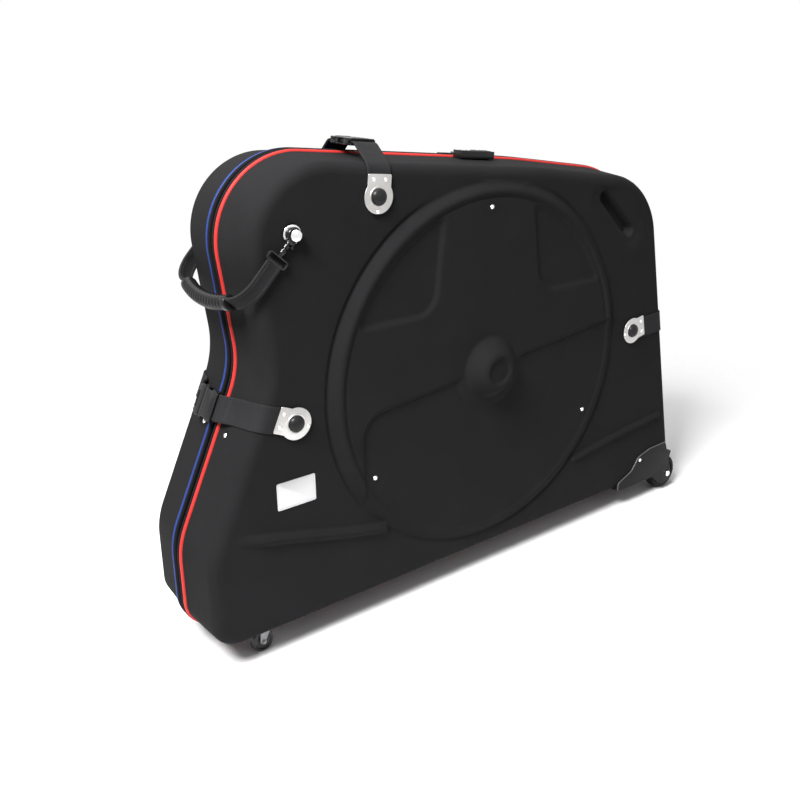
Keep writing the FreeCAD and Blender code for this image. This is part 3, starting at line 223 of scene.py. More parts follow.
class Paint:
    """Builds one material for each finish, and keeps it for the next piece."""

    WAVE_TURNS = 20
    COAT_ROUGHNESS = 0.12
    GLOSS_SPREAD = 0.16
    BRUSH_STRETCH = (40.0, 40.0, 900.0)
    GRAIN_SCALES = {Grain.BRUSHED: 1.0, Grain.SPECKLED: 900.0, Grain.MOULDED: 700.0}

    def __init__(self) -> None:
        """Start with no materials and no shared effects made."""
        self._made: Dict[str, bpy.types.Material] = {}
        self._groups: Dict[Effect, Tree] = {}

    def material(self, finish: Finish) -> bpy.types.Material:
        """The material of a finish.

        Args:
            finish: The finish to build, or to look up if it is made already.

        Returns:
            The finished material.
        """
        if finish.name not in self._made:
            self._made[finish.name] = self._build(finish)
        return self._made[finish.name]

    def _build(self, finish: Finish) -> bpy.types.Material:
        """Wire up a material's nodes.

        Args:
            finish: Colours and structure.

        Returns:
            A new material.
        """
        material = bpy.data.materials.new(finish.name)
        material.use_nodes = True
        wiring = Wiring(material.node_tree)
        place = wiring.node("ShaderNodeTexCoord").outputs["Object"]
        height = self._structure(wiring, finish, place)
        share = self._effect(wiring, Effect.BLOTCHES, {"Place": place, "Height": height})
        tint = wiring.node("ShaderNodeValToRGB", {"Fac": share})
        for element, scale in zip(tint.color_ramp.elements, (1 - 2 * finish.mottle, 1 + 2 * finish.mottle)):
            element.color = tuple(min(1.0, c * scale) for c in finish.colour) + (1.0,)
        bump = wiring.node("ShaderNodeBump", {
            "Strength": min(1.0, 4 * finish.relief), "Distance": finish.relief * MM, "Height": height})
        wiring.feed(material.node_tree.nodes["Principled BSDF"], {
            "Base Color": tint.outputs["Color"], "Metallic": finish.metallic,
            "Roughness": wiring.maths("MULTIPLY_ADD", share, self.GLOSS_SPREAD,
                                      finish.roughness - self.GLOSS_SPREAD / 2),
            "Specular IOR Level": finish.specular, "Coat Weight": finish.coat,
            "Coat Roughness": self.COAT_ROUGHNESS, "Normal": bump.outputs["Normal"]})
        return material

    def _structure(self, wiring: Wiring, finish: Finish, place: Socket) -> Socket:
        """The height field of a finish, from 0 to 1.

        Args:
            wiring: The material's wiring.
            finish: Whose grain and pitch to use.
            place: Coordinates in metres.

        Returns:
            A socket with the height.
        """
        if finish.grain is Grain.THREADS:
            scale = math.tau / (self.WAVE_TURNS * finish.pitch * MM)
            return self._effect(wiring, Effect.THREAD_BANDS, {"Place": place, "Scale": scale})
        stretch = self.BRUSH_STRETCH if finish.grain is Grain.BRUSHED else (1.0, 1.0, 1.0)
        return self._effect(wiring, Effect.FINE_GRAIN, {
            "Place": place, "Stretch": stretch, "Scale": self.GRAIN_SCALES[finish.grain]})

    def _effect(self, wiring: Wiring, effect: Effect, inputs: dict) -> Socket:
        """A shared effect in a material, fed with the material's own values."""
        return wiring.node("ShaderNodeGroup", inputs, node_tree=self._group(effect)).outputs[0]

    def _group(self, effect: Effect) -> Tree:
        """The node group of an effect, built the first time that it is asked for.

        Args:
            effect: Which effect.

        Returns:
            Its node group.
        """
        if effect not in self._groups:
            tree = bpy.data.node_groups.new(effect.name.lower(), "ShaderNodeTree")
            for socket in ("Place",) + effect.value:
                kind = "NodeSocketVector" if socket in ("Place", "Stretch") else "NodeSocketFloat"
                tree.interface.new_socket(socket, in_out="INPUT", socket_type=kind)
            tree.interface.new_socket("Amount", in_out="OUTPUT", socket_type="NodeSocketFloat")
            build = {Effect.THREAD_BANDS: self._thread_bands, Effect.FINE_GRAIN: self._fine_grain,
                     Effect.BLOTCHES: self._blotches}[effect]
            amount = build(Wiring(tree), tree.nodes.new("NodeGroupInput").outputs)
            tree.links.new(amount, tree.nodes.new("NodeGroupOutput").inputs["Amount"])
            self._groups[effect] = tree
        return self._groups[effect]

    @staticmethod
    def _thread_bands(wiring: Wiring, inputs: bpy.types.NodeOutputs) -> Socket:
        """Threads that cross along all three axes.

        Args:
            wiring: The group's wiring.
            inputs: Its input sockets.

        Returns:
            The threads' height from 0 to 1.
        """
        bands = []
        for axis in ("X", "Y", "Z"):
            wave = wiring.node("ShaderNodeTexWave", {
                "Vector": inputs["Place"], "Scale": inputs["Scale"], "Distortion": 0.6, "Detail": 0.0,
                "Detail Scale": 40.0}, bands_direction=axis)
            bands.append(wiring.maths("MULTIPLY", wave.outputs["Fac"], 1 / 3))
        return wiring.maths("ADD", wiring.maths("ADD", bands[0], bands[1]), bands[2])

    @staticmethod
    def _fine_grain(wiring: Wiring, inputs: bpy.types.NodeOutputs) -> Socket:
        """Fine noise, drawn out along a brushed surface.

        Args:
            wiring: The group's wiring.
            inputs: Its input sockets.

        Returns:
            The grain's height from 0 to 1.
        """
        drawn = wiring.node("ShaderNodeVectorMath", operation="MULTIPLY")
        wiring.feed(drawn, {0: inputs["Place"], 1: inputs["Stretch"]})
        noise = wiring.node("ShaderNodeTexNoise", {
            "Vector": drawn.outputs["Vector"], "Scale": inputs["Scale"], "Detail": 2.0})
        return noise.outputs["Fac"]

    @staticmethod
    def _blotches(wiring: Wiring, inputs: bpy.types.NodeOutputs) -> Socket:
        """Slow unevenness mixed with a little of the surface's own height.

        Args:
            wiring: The group's wiring.
            inputs: Its input sockets.

        Returns:
            The unevenness from 0 to 1.
        """
        cloud = wiring.node("ShaderNodeTexNoise", {"Vector": inputs["Place"], "Scale": 14.0, "Detail": 5.0})
        blotch = wiring.maths("MULTIPLY_ADD", cloud.outputs["Fac"], 0.7, 0.15)
        return wiring.maths("MULTIPLY_ADD", inputs["Height"], 0.3, blotch)


PAINT = Paint()


def stand(name: str, shape: Mesh) -> bpy.types.Object:
    """An object in the scene, made of a bmesh.

    Args:
        name: Its name.
        shape: Its mesh, in metres; it is freed here.

    Returns:
        The object.
    """
    mesh = bpy.data.meshes.new(name)
    shape.to_mesh(mesh)
    shape.free()
    piece = bpy.data.objects.new(name, mesh)
    bpy.context.scene.collection.objects.link(piece)
    LOG.info("%s: %d faces", name, len(mesh.polygons))
    return piece


def publish(name: str, shape: Mesh, body: str, finish: Finish, replaces: Sequence[str] = (),
            sharp: float = 40.0) -> bpy.types.Object:
    """Make an object of a finished bmesh, dress it and let it ride on its body.

    Args:
        name: Name of the piece.
        shape: Its mesh, in metres in the row's frame; it is freed here.
        body: CAD body it moves with.
        finish: Its surface.
        replaces: CAD nodes it stands for.
        sharp: Angle in degrees above which an edge stays sharp.

    Returns:
        The piece.
    """
    piece = stand(name, shape)
    piece.data.shade_smooth()
    piece.data.set_sharp_from_angle(angle=math.radians(sharp))
    piece.data.materials.append(PAINT.material(finish))
    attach(piece, body)
    if replaces:
        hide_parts(*replaces)
    return piece


def ramp(value: np.ndarray, low: float, high: float) -> np.ndarray:
    """A smooth step from 0 at low to 1 at high."""
    share = np.clip((value - low) / (high - low), 0.0, 1.0)
    return share * share * (3.0 - 2.0 * share)


def meet(one: np.ndarray, other: np.ndarray, radius: float) -> np.ndarray:
    """Distance to where two regions overlap, with a rounded corner.

    Args:
        one: Signed distance to the first region, negative inside.
        other: The same for the second.
        radius: Rounding of the corner where they meet.

    Returns:
        Signed distance to the overlap.
    """
    u = np.maximum(radius + one, 0.0)
    v = np.maximum(radius + other, 0.0)
    return np.minimum(-radius, np.maximum(one, other)) + np.hypot(u, v)


def along_line(x: np.ndarray, z: np.ndarray, points: Sequence[Point]) -> Tuple[np.ndarray, np.ndarray]:
    """Distance to a run of straight lines, and how far along it the nearest point is.

    Args:
        x: Places along the case.
        z: Heights.
        points: Corners of the run.

    Returns:
        Distances, and lengths along the run.
    """
    best = np.full(np.shape(x), 1e9)
    travel = np.zeros(np.shape(x))
    done = 0.0
    for (x0, z0), (x1, z1) in zip(points, points[1:]):
        length = max(math.hypot(x1 - x0, z1 - z0), 1e-6)
        share = np.clip(((x - x0) * (x1 - x0) + (z - z0) * (z1 - z0)) / length ** 2, 0.0, 1.0)
        gap = np.hypot(x - x0 - share * (x1 - x0), z - z0 - share * (z1 - z0))
        travel = np.where(gap < best, done + share * length, travel)
        best = np.minimum(best, gap)
        done += length
    return best, travel


def seat(origin: Sequence[float], x_axis: Sequence[float], z_axis: Sequence[float]) -> Matrix:
    """A placement from its origin and the directions of its X and Z."""
    x, z = Vector(x_axis).normalized(), Vector(z_axis).normalized()
    return Matrix.Translation(origin) @ Matrix((x, z.cross(x), z)).transposed().to_4x4()


def on_face(x: float, depth: float, z: float) -> Matrix:
    """A placement at a depth on the near side, with Z outwards."""
    return seat((x, -depth, z), ALONG, OUTWARDS)


def placed(place: Matrix, points: Iterable[Sequence[float]]) -> np.ndarray:
    """Points of a placement in the row's frame."""
    return np.array([tuple(place @ Vector(point)) for point in points])


def rounding(before: Corner, here: Corner, after: Corner) -> Tuple[Vector, Vector, Vector, float, float]:
    """How the rounding of a corner lies between its two runs.

    Args:
        before: The corner before it, as two coordinates and a rounding.
        here: The corner.
        after: The corner after it.

    Returns:
        Start, centre and end of the arc, the length it takes off each run, and half of the angle.
    """
    tip, radius = Vector(here[:2]), here[2]
    back = (Vector(before[:2]) - tip).normalized()
    ahead = (Vector(after[:2]) - tip).normalized()
    half = back.angle(ahead) / 2
    run = radius / math.tan(half)
    centre = tip + (back + ahead).normalized() * (radius / math.sin(half))
    return tip + back * run, centre, tip + ahead * run, run, half


def swept_angle(start: Vector, stop: Vector) -> float:
    """Signed angle from one arm of an arc to the other."""
    return math.atan2(start.x * stop.y - start.y * stop.x, start.dot(stop))


@dataclass
class Outline:
    """The seam's outline in millimetres: corners as x, z and rounding, tail first."""

    corners: Tuple[Corner, ...] = (
        (-596.0, 50.0, 55.0), (-596.0, 217.0, 150.0), (-466.0, 505.0, -160.0), (-508.0, 863.0, 140.0),
        (130.0, 800.0, 1500.0), (454.0, 751.0, 160.0), (583.0, 50.0, 60.0))
    base: int = 6
    arc_step: float = 7.0
    line_step: float = 18.0

    def moved(self, inset: float, base_inset: float) -> List[Corner]:
        """Corners of the outline moved inwards.

        Args:
            inset: How far.
            base_inset: How far for the bottom run.

        Returns:
            The new corners.
        """
        runs = []
        count = len(self.corners)
        for i, (x0, z0, _) in enumerate(self.corners):
            x1, z1, _ = self.corners[(i + 1) % count]
            length = math.hypot(x1 - x0, z1 - z0)
            ux, uz = (x1 - x0) / length, (z1 - z0) / length
            shift = base_inset if i == self.base else inset
            runs.append((x0 + uz * shift, z0 - ux * shift, ux, uz))
        moved = []
        for i, (_, _, radius) in enumerate(self.corners):
            (px, pz, ux, uz), (qx, qz, vx, vz) = runs[i - 1], runs[i]
            step = ((qz - pz) * vx - (qx - px) * vz) / (uz * vx - ux * vz)
            moved.append((px + ux * step, pz + uz * step, abs(radius - inset)))
        return moved

    def ring(self, inset: float, base_inset: Optional[float] = None) -> np.ndarray:
        """Points round the outline, equally many whatever the inset.

        Args:
            inset: How far inside the seam's outline.
            base_inset: The same for the bottom run, if it differs.

        Returns:
            An array of x, z rows.
        """
        corners = self.moved(inset, inset if base_inset is None else base_inset)
        plain = self.moved(0.0, 0.0)
        count = len(corners)
        arcs, runs, counts = [], [], []
        for i in range(count):
            arcs.append(rounding(corners[i - 1], corners[i], corners[(i + 1) % count])[:3])
            *_, run, half = rounding(plain[i - 1], plain[i], plain[(i + 1) % count])
            runs.append(run)
            counts.append(max(3, round(plain[i][2] * (math.pi - 2 * half) / self.arc_step)))
        points = []
        for i, (start, centre, stop) in enumerate(arcs):
            a, b = start - centre, stop - centre
            turn = swept_angle(a, b)
            for k in range(counts[i] + 1):
                angle = turn * k / counts[i]
                points.append((centre.x + a.x * math.cos(angle) - a.y * math.sin(angle),
                               centre.y + a.x * math.sin(angle) + a.y * math.cos(angle)))
            ahead = (i + 1) % count
            gap = math.dist(plain[i][:2], plain[ahead][:2]) - runs[i] - runs[ahead]
            steps = max(1, round(gap / self.line_step))
            points += [tuple(stop.lerp(arcs[ahead][0], k / steps)) for k in range(1, steps)]
        return np.array(points)

    def on_run(self, run: int, y: float, x: Optional[float] = None, z: Optional[float] = None,
               sunk: float = 0.0) -> Matrix:
        """A placement on one straight run, with X along it and Z outwards.

        Args:
            run: Number of the corner at which the run starts.
            y: Depth of the place.
            x: Its place along the case, or None if its height is given.
            z: Its height.
            sunk: How far it lies inside the outline.

        Returns:
            The placement.
        """
        (x0, z0, _), (x1, z1, _) = self.corners[run], self.corners[(run + 1) % len(self.corners)]
        along = Vector((x1 - x0, 0.0, z1 - z0)).normalized()
        out = along.cross(Vector(ACROSS))
        step = (z - z0) / along.z if x is None else (x - x0) / along.x
        return seat(Vector((x0, y, z0)) + along * step - out * sunk, along, out)


OUTLINE = Outline()


def lofted(shape: Mesh, rings: Sequence[np.ndarray]) -> Tuple[Edges, Edges, List[bmesh.types.BMVert]]:
    """Extrude a closed ring of edges from ring to ring.

    Args:
        shape: Mesh to add to.
        rings: Places of each ring's vertices, equally many in each.

    Returns:
        Edges of the first ring, and edges and vertices of the last.
    """
    verts = [shape.verts.new(place) for place in rings[0]]
    first = loop = [shape.edges.new(pair) for pair in zip(verts, verts[1:] + verts[:1])]
    for ring in rings[1:]:
        made = bmesh.ops.extrude_edge_only(shape, edges=loop)["geom"]
        fresh = set(v for v in made if isinstance(v, bmesh.types.BMVert))
        verts = [next(o for e in v.link_edges if (o := e.other_vert(v)) in fresh) for v in verts]
        for vert, place in zip(verts, ring):
            vert.co = place
        loop = [e for e in made if isinstance(e, bmesh.types.BMEdge) and fresh.issuperset(e.verts)]
    return first, loop, verts


@dataclass(frozen=True)
class Step:
    """A smooth step: nothing beyond an outer distance, its full height within an inner one."""

    height: float
    outer: float
    inner: float

    def over(self, gap: np.ndarray) -> np.ndarray:
        """Its height at each distance."""
        return self.height * ramp(-gap, -self.outer, -self.inner)


@dataclass(frozen=True)
class Ridge:
    """A soft ridge where a distance has a given value."""

    height: float
    at: float
    width: float

    def over(self, gap: np.ndarray) -> np.ndarray:
        """Its height at each distance."""
        return self.height * np.exp(-((gap - self.at) / self.width) ** 2)


@dataclass(frozen=True)
class Rib:
    """A half-round rib along straight lines, which fades out towards its end."""

    points: Tuple[Point, ...]
    height: float
    half_width: float
    fade: Step

    def over(self, x: np.ndarray, z: np.ndarray) -> np.ndarray:
        """Its height at each place.

        Args:
            x: Places along the case.
            z: Heights.

        Returns:
            Millimetres over the face.
        """
        gap, travel = along_line(x, z, self.points)
        swell = np.clip(1.0 - (gap / self.half_width) ** 2, 0.0, 1.0) ** 1.5
        return self.height * swell * self.fade.over(travel)


@dataclass
class MouldedShell:
    """One half shell: a soft-edged tray with a wheel disc, ribs, a hand-hold and a hub boss."""

    half: Half
    depth: float = 115.0
    rim: float = 19.0
    wall: float = 6.0
    draft: float = 7.1
    edge: float = 20.0
    disc: Corner = (-10.0, 433.0, 347.0)
    disc_rise: float = 10.0
    disc_edge: Step = Step(1.0, 1.0, -15.0)
    disc_bead: Ridge = Ridge(2.4, -19.0, 6.0)
    moat: Ridge = Ridge(3.0, 3.0, 3.5)
    moat_fade: Step = Step(1.0, 335.0, 290.0)
    band: float = 31.0
    groove: Ridge = Ridge(1.9, 4.0, 2.6)
    panel_depth: float = 4.8
    panel_edge: Step = Step(1.0, 5.0, -8.0)
    panel_round: float = 40.0
    panel_tip_round: float = 14.0
    bar_foot: float = 127.0
    bar_head: float = 104.0
    bar_height: float = 190.0
    bar_foot_z: float = 559.0
    low_panel_left: float = 285.0
    low_panel_edge: Step = Step(1.0, 2.5, -3.0)
    hub_slope: float = math.tan(math.radians(6.4))
    hub_clear: Point = (62.0, 84.0)
    boss: Step = Step(30.0, 64.0, 31.0)
    boss_dish: Step = Step(3.4, 27.0, 21.0)
    boss_lip: Ridge = Ridge(0.7, 29.0, 3.0)
    ribs: Tuple[Rib, ...] = (
        Rib(((-253.0, 175.0), (-330.0, 191.0), (-419.0, 215.0), (-530.0, 242.0)), 9.0, 12.0,
            Step(1.0, 305.0, 230.0)),
        Rib(((233.0, 171.0), (363.0, 188.0), (523.0, 203.5)), 8.0, 8.0, Step(1.0, 300.0, 270.0)))
    slot_ends: Tuple[Point, ...] = ((299.9, 722.0), (378.0, 645.0))
    slot_dip: Step = Step(3.5, 48.0, 17.0)
    slot_well: Step = Step(20.0, 14.0, 8.0)
    eye: Point = (-408.0, 733.0)
    eye_seat: float = 17.0
    eye_field: Tuple[Point, ...] = ((-390.4, 718.6), (-460.8, 744.2), (-435.2, 779.4))
    eye_dip: Step = Step(2.3, 1.0, -2.5)
    disc_hollow: Step = Step(5.5, -4.0, -16.0)
    boss_hollow: Step = Step(26.0, 56.0, 26.0)
    slot_bulge: Step = Step(24.0, 23.0, 18.0)
    notch: Corner = (505.0, 96.0, 71.0)
    wall_rows: int = 5
    edge_rows: int = 9
    hem: float = 3.0
    cell: float = 9.0
    clearance: float = 0.4
    samples: int = 5
    flatness: float = 0.06
    sharp: float = 60.0

    def height(self, x: np.ndarray, z: np.ndarray) -> np.ndarray:
        """How far the outer face stands proud of its flat.

        Args:
            x: Places along the case.
            z: Heights.

        Returns:
            Millimetres at each place.
        """
        cx, cz, radius = self.disc
        dz = z - cz
        r = np.hypot(x - cx, dz)
        disc = self.disc_edge.over(r - radius)
        fields = self._panels(x, z, r)
        rise = self.disc_rise * disc + self.disc_bead.over(r - radius)
        rise -= self.moat.over(r - radius) * self.moat_fade.over(dz)
        rise -= self.panel_depth * disc * fields
        rise -= self.groove.over(r - (radius - self.band)) * (1.0 - fields)
        rise += self.boss.over(r) - self.boss_dish.over(r) + self.boss_lip.over(r)
        for rib in self.ribs:
            rise += rib.over(x, z)
        gap, _ = along_line(x, z, self.slot_ends)
        return rise - self.slot_dip.over(gap) - self.slot_well.over(gap) - self.eye_dip.over(self._field_gap(x, z))

    def _panels(self, x: np.ndarray, z: np.ndarray, r: np.ndarray) -> np.ndarray:
        """Where the disc's panels are sunk: beside the upright bar, and below the hub.

        Args:
            x: Places along the case.
            z: Heights.
            r: Distances from the hub.

        Returns:
            1 in a panel, 0 outside.
        """
        cx, cz, radius = self.disc
        fields = np.zeros(np.shape(x))
        for side in (-1, 1):
            foot, head = cx + side * self.bar_foot, cx + side * self.bar_head
            lean = (head - foot) / self.bar_height
            line = -side * (x - foot - lean * (z - self.bar_foot_z)) / math.hypot(1.0, lean)
            region = meet(meet(line, self.bar_foot_z - z, self.panel_round), r - (radius - self.band),
                          self.panel_tip_round)
            fields = np.maximum(fields, self.panel_edge.over(region))
        drop = (z - cz - (x - cx) * self.hub_slope) / math.hypot(1.0, self.hub_slope)
        low = meet(drop, cx - self.low_panel_left - x, self.panel_round)
        return np.maximum(fields, self.low_panel_edge.over(low)) * ramp(r, *self.hub_clear)

    def _field_gap(self, x: np.ndarray, z: np.ndarray) -> np.ndarray:
        """Signed distance to the sunk field and round seat at the handle's eye.

        Args:
            x: Places along the case.
            z: Heights.

        Returns:
            Millimetres, negative inside.
        """
        gap = np.full(np.shape(x), -1e9)
        corners = self.eye_field
        for (x0, z0), (x1, z1) in zip(corners, corners[1:] + corners[:1]):
            length = math.hypot(x1 - x0, z1 - z0)
            gap = np.maximum(gap, ((x - x0) * (z1 - z0) - (z - z0) * (x1 - x0)) / length)
        return np.minimum(gap, np.hypot(x - self.eye[0], z - self.eye[1]) - self.eye_seat)

    def hollow(self, x: np.ndarray, z: np.ndarray) -> np.ndarray:
        """How far the inner face is sunk into the disc.

        Args:
            x: Places along the case.
            z: Heights.

        Returns:
            Millimetres at each place.
        """
        cx, cz, radius = self.disc
        r = np.hypot(x - cx, z - cz)
        gap, _ = along_line(x, z, self.slot_ends)
        return self.disc_hollow.over(r - radius) + self.boss_hollow.over(r) - self.slot_bulge.over(gap)

    def build(self) -> bpy.types.Object:
        """Model the shell and dress it.

        Returns:
            The shell.
        """
        shape = bmesh.new()
        outer = self._tray(shape, 0.0, self.height, 2)
        skin = list(shape.faces)
        inner = self._tray(shape, self.wall, self.hollow, 1)
        known = set(skin)
        lining = [f for f in shape.faces if f not in known]
        for side in (skin, lining):
            bmesh.ops.recalc_face_normals(shape, faces=side)
        bmesh.ops.reverse_faces(shape, faces=lining)
        rim = bmesh.ops.bridge_loops(shape, edges=outer + inner)["faces"]
        for face in rim:
            face.normal_update()
        bmesh.ops.reverse_faces(shape, faces=[f for f in rim if f.normal.y < 0.0])
        left, top, back = self.notch
        corner = [f for f in shape.faces
                  if (c := f.calc_center_median() / MM).x > left and c.z < top and c.y < -back]
        bmesh.ops.delete(shape, geom=corner, context="FACES")
        if self.half is Half.FAR:
            bmesh.ops.transform(shape, matrix=Matrix.Scale(-1, 4, ACROSS), verts=shape.verts)
            bmesh.ops.reverse_faces(shape, faces=shape.faces)
        name = self.half.prefix + "_moulded_shell"
        return publish(name, shape, self.half.body, Finishes.SHELL, [self.half.prefix + "_shell"], self.sharp)

    def _tray(self, shape: Mesh, inset: float, relief: Relief, rounds: int) -> Edges:
        """One skin of the shell, from its rim round the edge and over its face.

        Args:
            shape: Mesh to add to.
            inset: Distance of this skin inside the outer one.
            relief: Height of the face over its flat.
            rounds: How often the cells on slopes are halved.

        Returns:
            The edges round the rim.
        """
        edge, depth = self.edge - inset, self.depth - inset
        levels = []
        for share in np.linspace(0.0, 1.0, self.wall_rows):
            levels.append((self.rim + share * (depth - edge - self.rim), self.draft * share, 0.0))
        for turn in np.linspace(0.0, QUARTER_TURN, self.edge_rows)[1:]:
            curl = edge * (1 - math.cos(turn))
            levels.append((depth - edge + edge * math.sin(turn), self.draft + curl, curl))
        levels.append((depth, self.draft + edge + self.hem, edge + self.hem))
        rings = []
        for y, lean, low in levels:
            ring = OUTLINE.ring(inset + lean, inset + low)
            rings.append(np.stack([ring[:, 0], np.full(len(ring), -y), ring[:, 1]], 1) * MM)
        first, loop, verts = lofted(shape, rings)
        self._face(shape, loop, np.array([(v.co.x, v.co.z) for v in verts]) / MM, depth, relief, rounds)
        return first

    def _face(self, shape: Mesh, loop: Edges, border: np.ndarray, depth: float, relief: Relief,
              rounds: int) -> None:
        """The face inside a loop: a grid, halved where it slopes, raised by the relief.

        Args:
            shape: Mesh to add to.
            loop: Edges round the face.
            border: The loop's points as x, z rows in millimetres.
            depth: Depth of the flat.
            relief: Height over the flat.
            rounds: How often the cells on slopes are halved.
        """
        before = set(shape.faces)
        low, high = border.min(0), border.max(0)
        across, up = (int(n) for n in np.ceil((high - low) / self.cell))
        grid = bmesh.ops.create_grid(shape, x_segments=across, y_segments=up, size=0.5)["verts"]
        middle = (low + high) / 2
        for vert in grid:
            x, z = middle + np.array((vert.co.x, vert.co.y)) * (high - low)
            vert.co = (x * MM, -depth * MM, z * MM)
        places = np.array([(v.co.x, v.co.z) for v in grid]) / MM
        outside = self._clear_of(places, border) < self.cell * self.clearance
        gone = set(v for v, out in zip(grid, outside) if out)
        kept = [v for v in grid if v not in gone]
        bmesh.ops.delete(shape, geom=list(gone), context="VERTS")
        bmesh.ops.delete(shape, geom=[v for v in kept if not v.link_faces], context="VERTS")
        for _ in range(rounds):
            self._halve(shape, [f for f in shape.faces if f not in before], relief)
        faces = [f for f in shape.faces if f not in before]
        border_edges = [e for f in faces for e in f.edges if len(e.link_faces) == 1]
        bmesh.ops.triangle_fill(shape, edges=loop + list(dict.fromkeys(border_edges)), use_beauty=True,
                                normal=OUTWARDS)
        verts = list(set(v for f in faces for v in f.verts))
        places = np.array([(v.co.x, v.co.z) for v in verts]) / MM
        for vert, lift in zip(verts, relief(places[:, 0], places[:, 1])):
            vert.co.y = -(depth + lift) * MM

    def _halve(self, shape: Mesh, cells: List[bmesh.types.BMFace], relief: Relief) -> None:
        """Split the cells over which the relief bends.

        Args:
            shape: Mesh that the cells are in.
            cells: The cells.
            relief: Height over the flat.
        """
        spans = np.array([(min(v.co.x for v in f.verts), max(v.co.x for v in f.verts),
                           min(v.co.z for v in f.verts), max(v.co.z for v in f.verts)) for f in cells]) / MM
        share = np.linspace(0.0, 1.0, self.samples)
        x = spans[:, :1] + (spans[:, 1:2] - spans[:, :1]) * share
        z = spans[:, 2:3] + (spans[:, 3:4] - spans[:, 2:3]) * share
        bed = relief(np.repeat(x[:, :, None], self.samples, 2), np.repeat(z[:, None, :], self.samples, 1))
        u, v = share[:, None], share[None, :]
        flat = (bed[:, :1, :1] * (1 - u) * (1 - v) + bed[:, -1:, :1] * u * (1 - v)
                + bed[:, :1, -1:] * (1 - u) * v + bed[:, -1:, -1:] * u * v)
        bends = np.abs(bed - flat).max((1, 2)) > self.flatness
        edges = list(dict.fromkeys(e for f, b in zip(cells, bends) if b for e in f.edges))
        bmesh.ops.subdivide_edges(shape, edges=edges, cuts=1, use_grid_fill=True)

    @staticmethod
    def _clear_of(places: np.ndarray, border: np.ndarray) -> np.ndarray:
        """How far places lie inside a closed border.

        Args:
            places: Points as x, z rows.
            border: Points of the border.

        Returns:
            Distances to the border, negative outside.
        """
        closed = np.vstack((border, border[:1]))
        x, z = places[:, 0], places[:, 1]
        gap, _ = along_line(x, z, closed)
        inside = np.zeros(len(places), bool)
        for (x0, z0), (x1, z1) in zip(closed, closed[1:]):
            if z0 != z1:
                crosses = (z0 > z) != (z1 > z)
                inside ^= crosses & (x < x0 + (z - z0) * (x1 - x0) / (z1 - z0))
        return np.where(inside, gap, -gap)


def bent(corners: Sequence[Corner], closed: bool = False, step: float = 2.0) -> np.ndarray:
    """Points along straight runs with rounded corners, in a plane.

    Args:
        corners: Corners as two coordinates and a rounding.
        closed: Whether the last corner runs back to the first.
        step: Distance between points on an arc.

    Returns:
        An array of points, two coordinates each.
    """
    count = len(corners)
    points = []
    for i, (u, v, radius) in enumerate(corners):
        if not radius or (not closed and i in (0, count - 1)):
            points.append(Vector((u, v)))
            continue
        start, centre, stop, _, _ = rounding(corners[i - 1], corners[i], corners[(i + 1) % count])
        turn = swept_angle(start - centre, stop - centre)
        steps = max(2, math.ceil(abs(turn) * radius / step))
        for k in range(steps + 1):
            points.append(centre + Matrix.Rotation(turn * k / steps, 2) @ (start - centre))
    return np.array([tuple(p) for p in points])


def oblong(low: Sequence[float], high: Sequence[float], radius: float) -> List[Corner]:
    """Corners of an upright oblong between two of them, all with one rounding."""
    return [(low[0], low[1], radius), (high[0], low[1], radius), (high[0], high[1], radius), (low[0], high[1], radius)]


def both_sides(right: Sequence[Corner]) -> List[Corner]:
    """A closed outline from the corners of its right side, which are given from the bottom up."""
    left = [(-x, y, radius) for x, y, radius in reversed(right)]
    return left[-1:] + list(right) + left[:-1]


def both_ends(profile: Sequence[Point]) -> List[Point]:
    """A profile of radius and height, followed by its mirror image upwards."""
    return list(profile) + [(r, -h) for r, h in reversed(profile)]


def dome(radius: float, height: float, count: int, base: float = 0.0, start: float = 0.0) -> List[Point]:
    """Profile of a dome, as radius and height, up to its top."""
    return [(radius * math.cos(t), base + height * math.sin(t)) for t in np.linspace(start, QUARTER_TURN, count)]


def spaced(path: np.ndarray, step: float = PATH_STEP) -> np.ndarray:
    """The same path with its points a fixed step apart.

    Args:
        path: Points of the path.
        step: Distance between the new points.

    Returns:
        The new points.
    """
    travel = np.concatenate(([0.0], np.cumsum(np.linalg.norm(np.diff(path, axis=0), axis=1))))
    places = np.linspace(0.0, travel[-1], max(2, round(travel[-1] / step) + 1))
    return np.stack([np.interp(places, travel, path[:, k]) for k in range(path.shape[1])], 1)


def oval(width: float, height: float, sides: int = 12) -> np.ndarray:
    """An oval section."""
    turns = np.arange(sides) * math.tau / sides
    return np.stack([np.cos(turns) * width / 2, np.sin(turns) * height / 2], 1)


def beaded(count: int, period: int, low: float) -> np.ndarray:
    """Scales of a section that is pinched at every so many points of its path."""
    return np.where(np.arange(count) % period, 1.0, low)[:, None, None]


def flat_section(width: float, thickness: float, hem: float = 0.0) -> np.ndarray:
    """The section of a band, a little thicker along its two edges.

    Args:
        width: Across the band.
        thickness: Through it.
        hem: How far its edges swell on each side.

    Returns:
        Offsets across and through the band.
    """
    half, deep = width / 2, thickness / 2
    edge = [(half, 0.0), (half - 0.4, deep * 0.8), (half - 1.4, deep + hem), (half - 3.2, deep + hem),
            (half - 4.4, deep)]
    upper = [(-u, v) for u, v in edge] + edge[::-1]
    return np.array(upper + [(u, -v) for u, v in upper[-2:0:-1]])


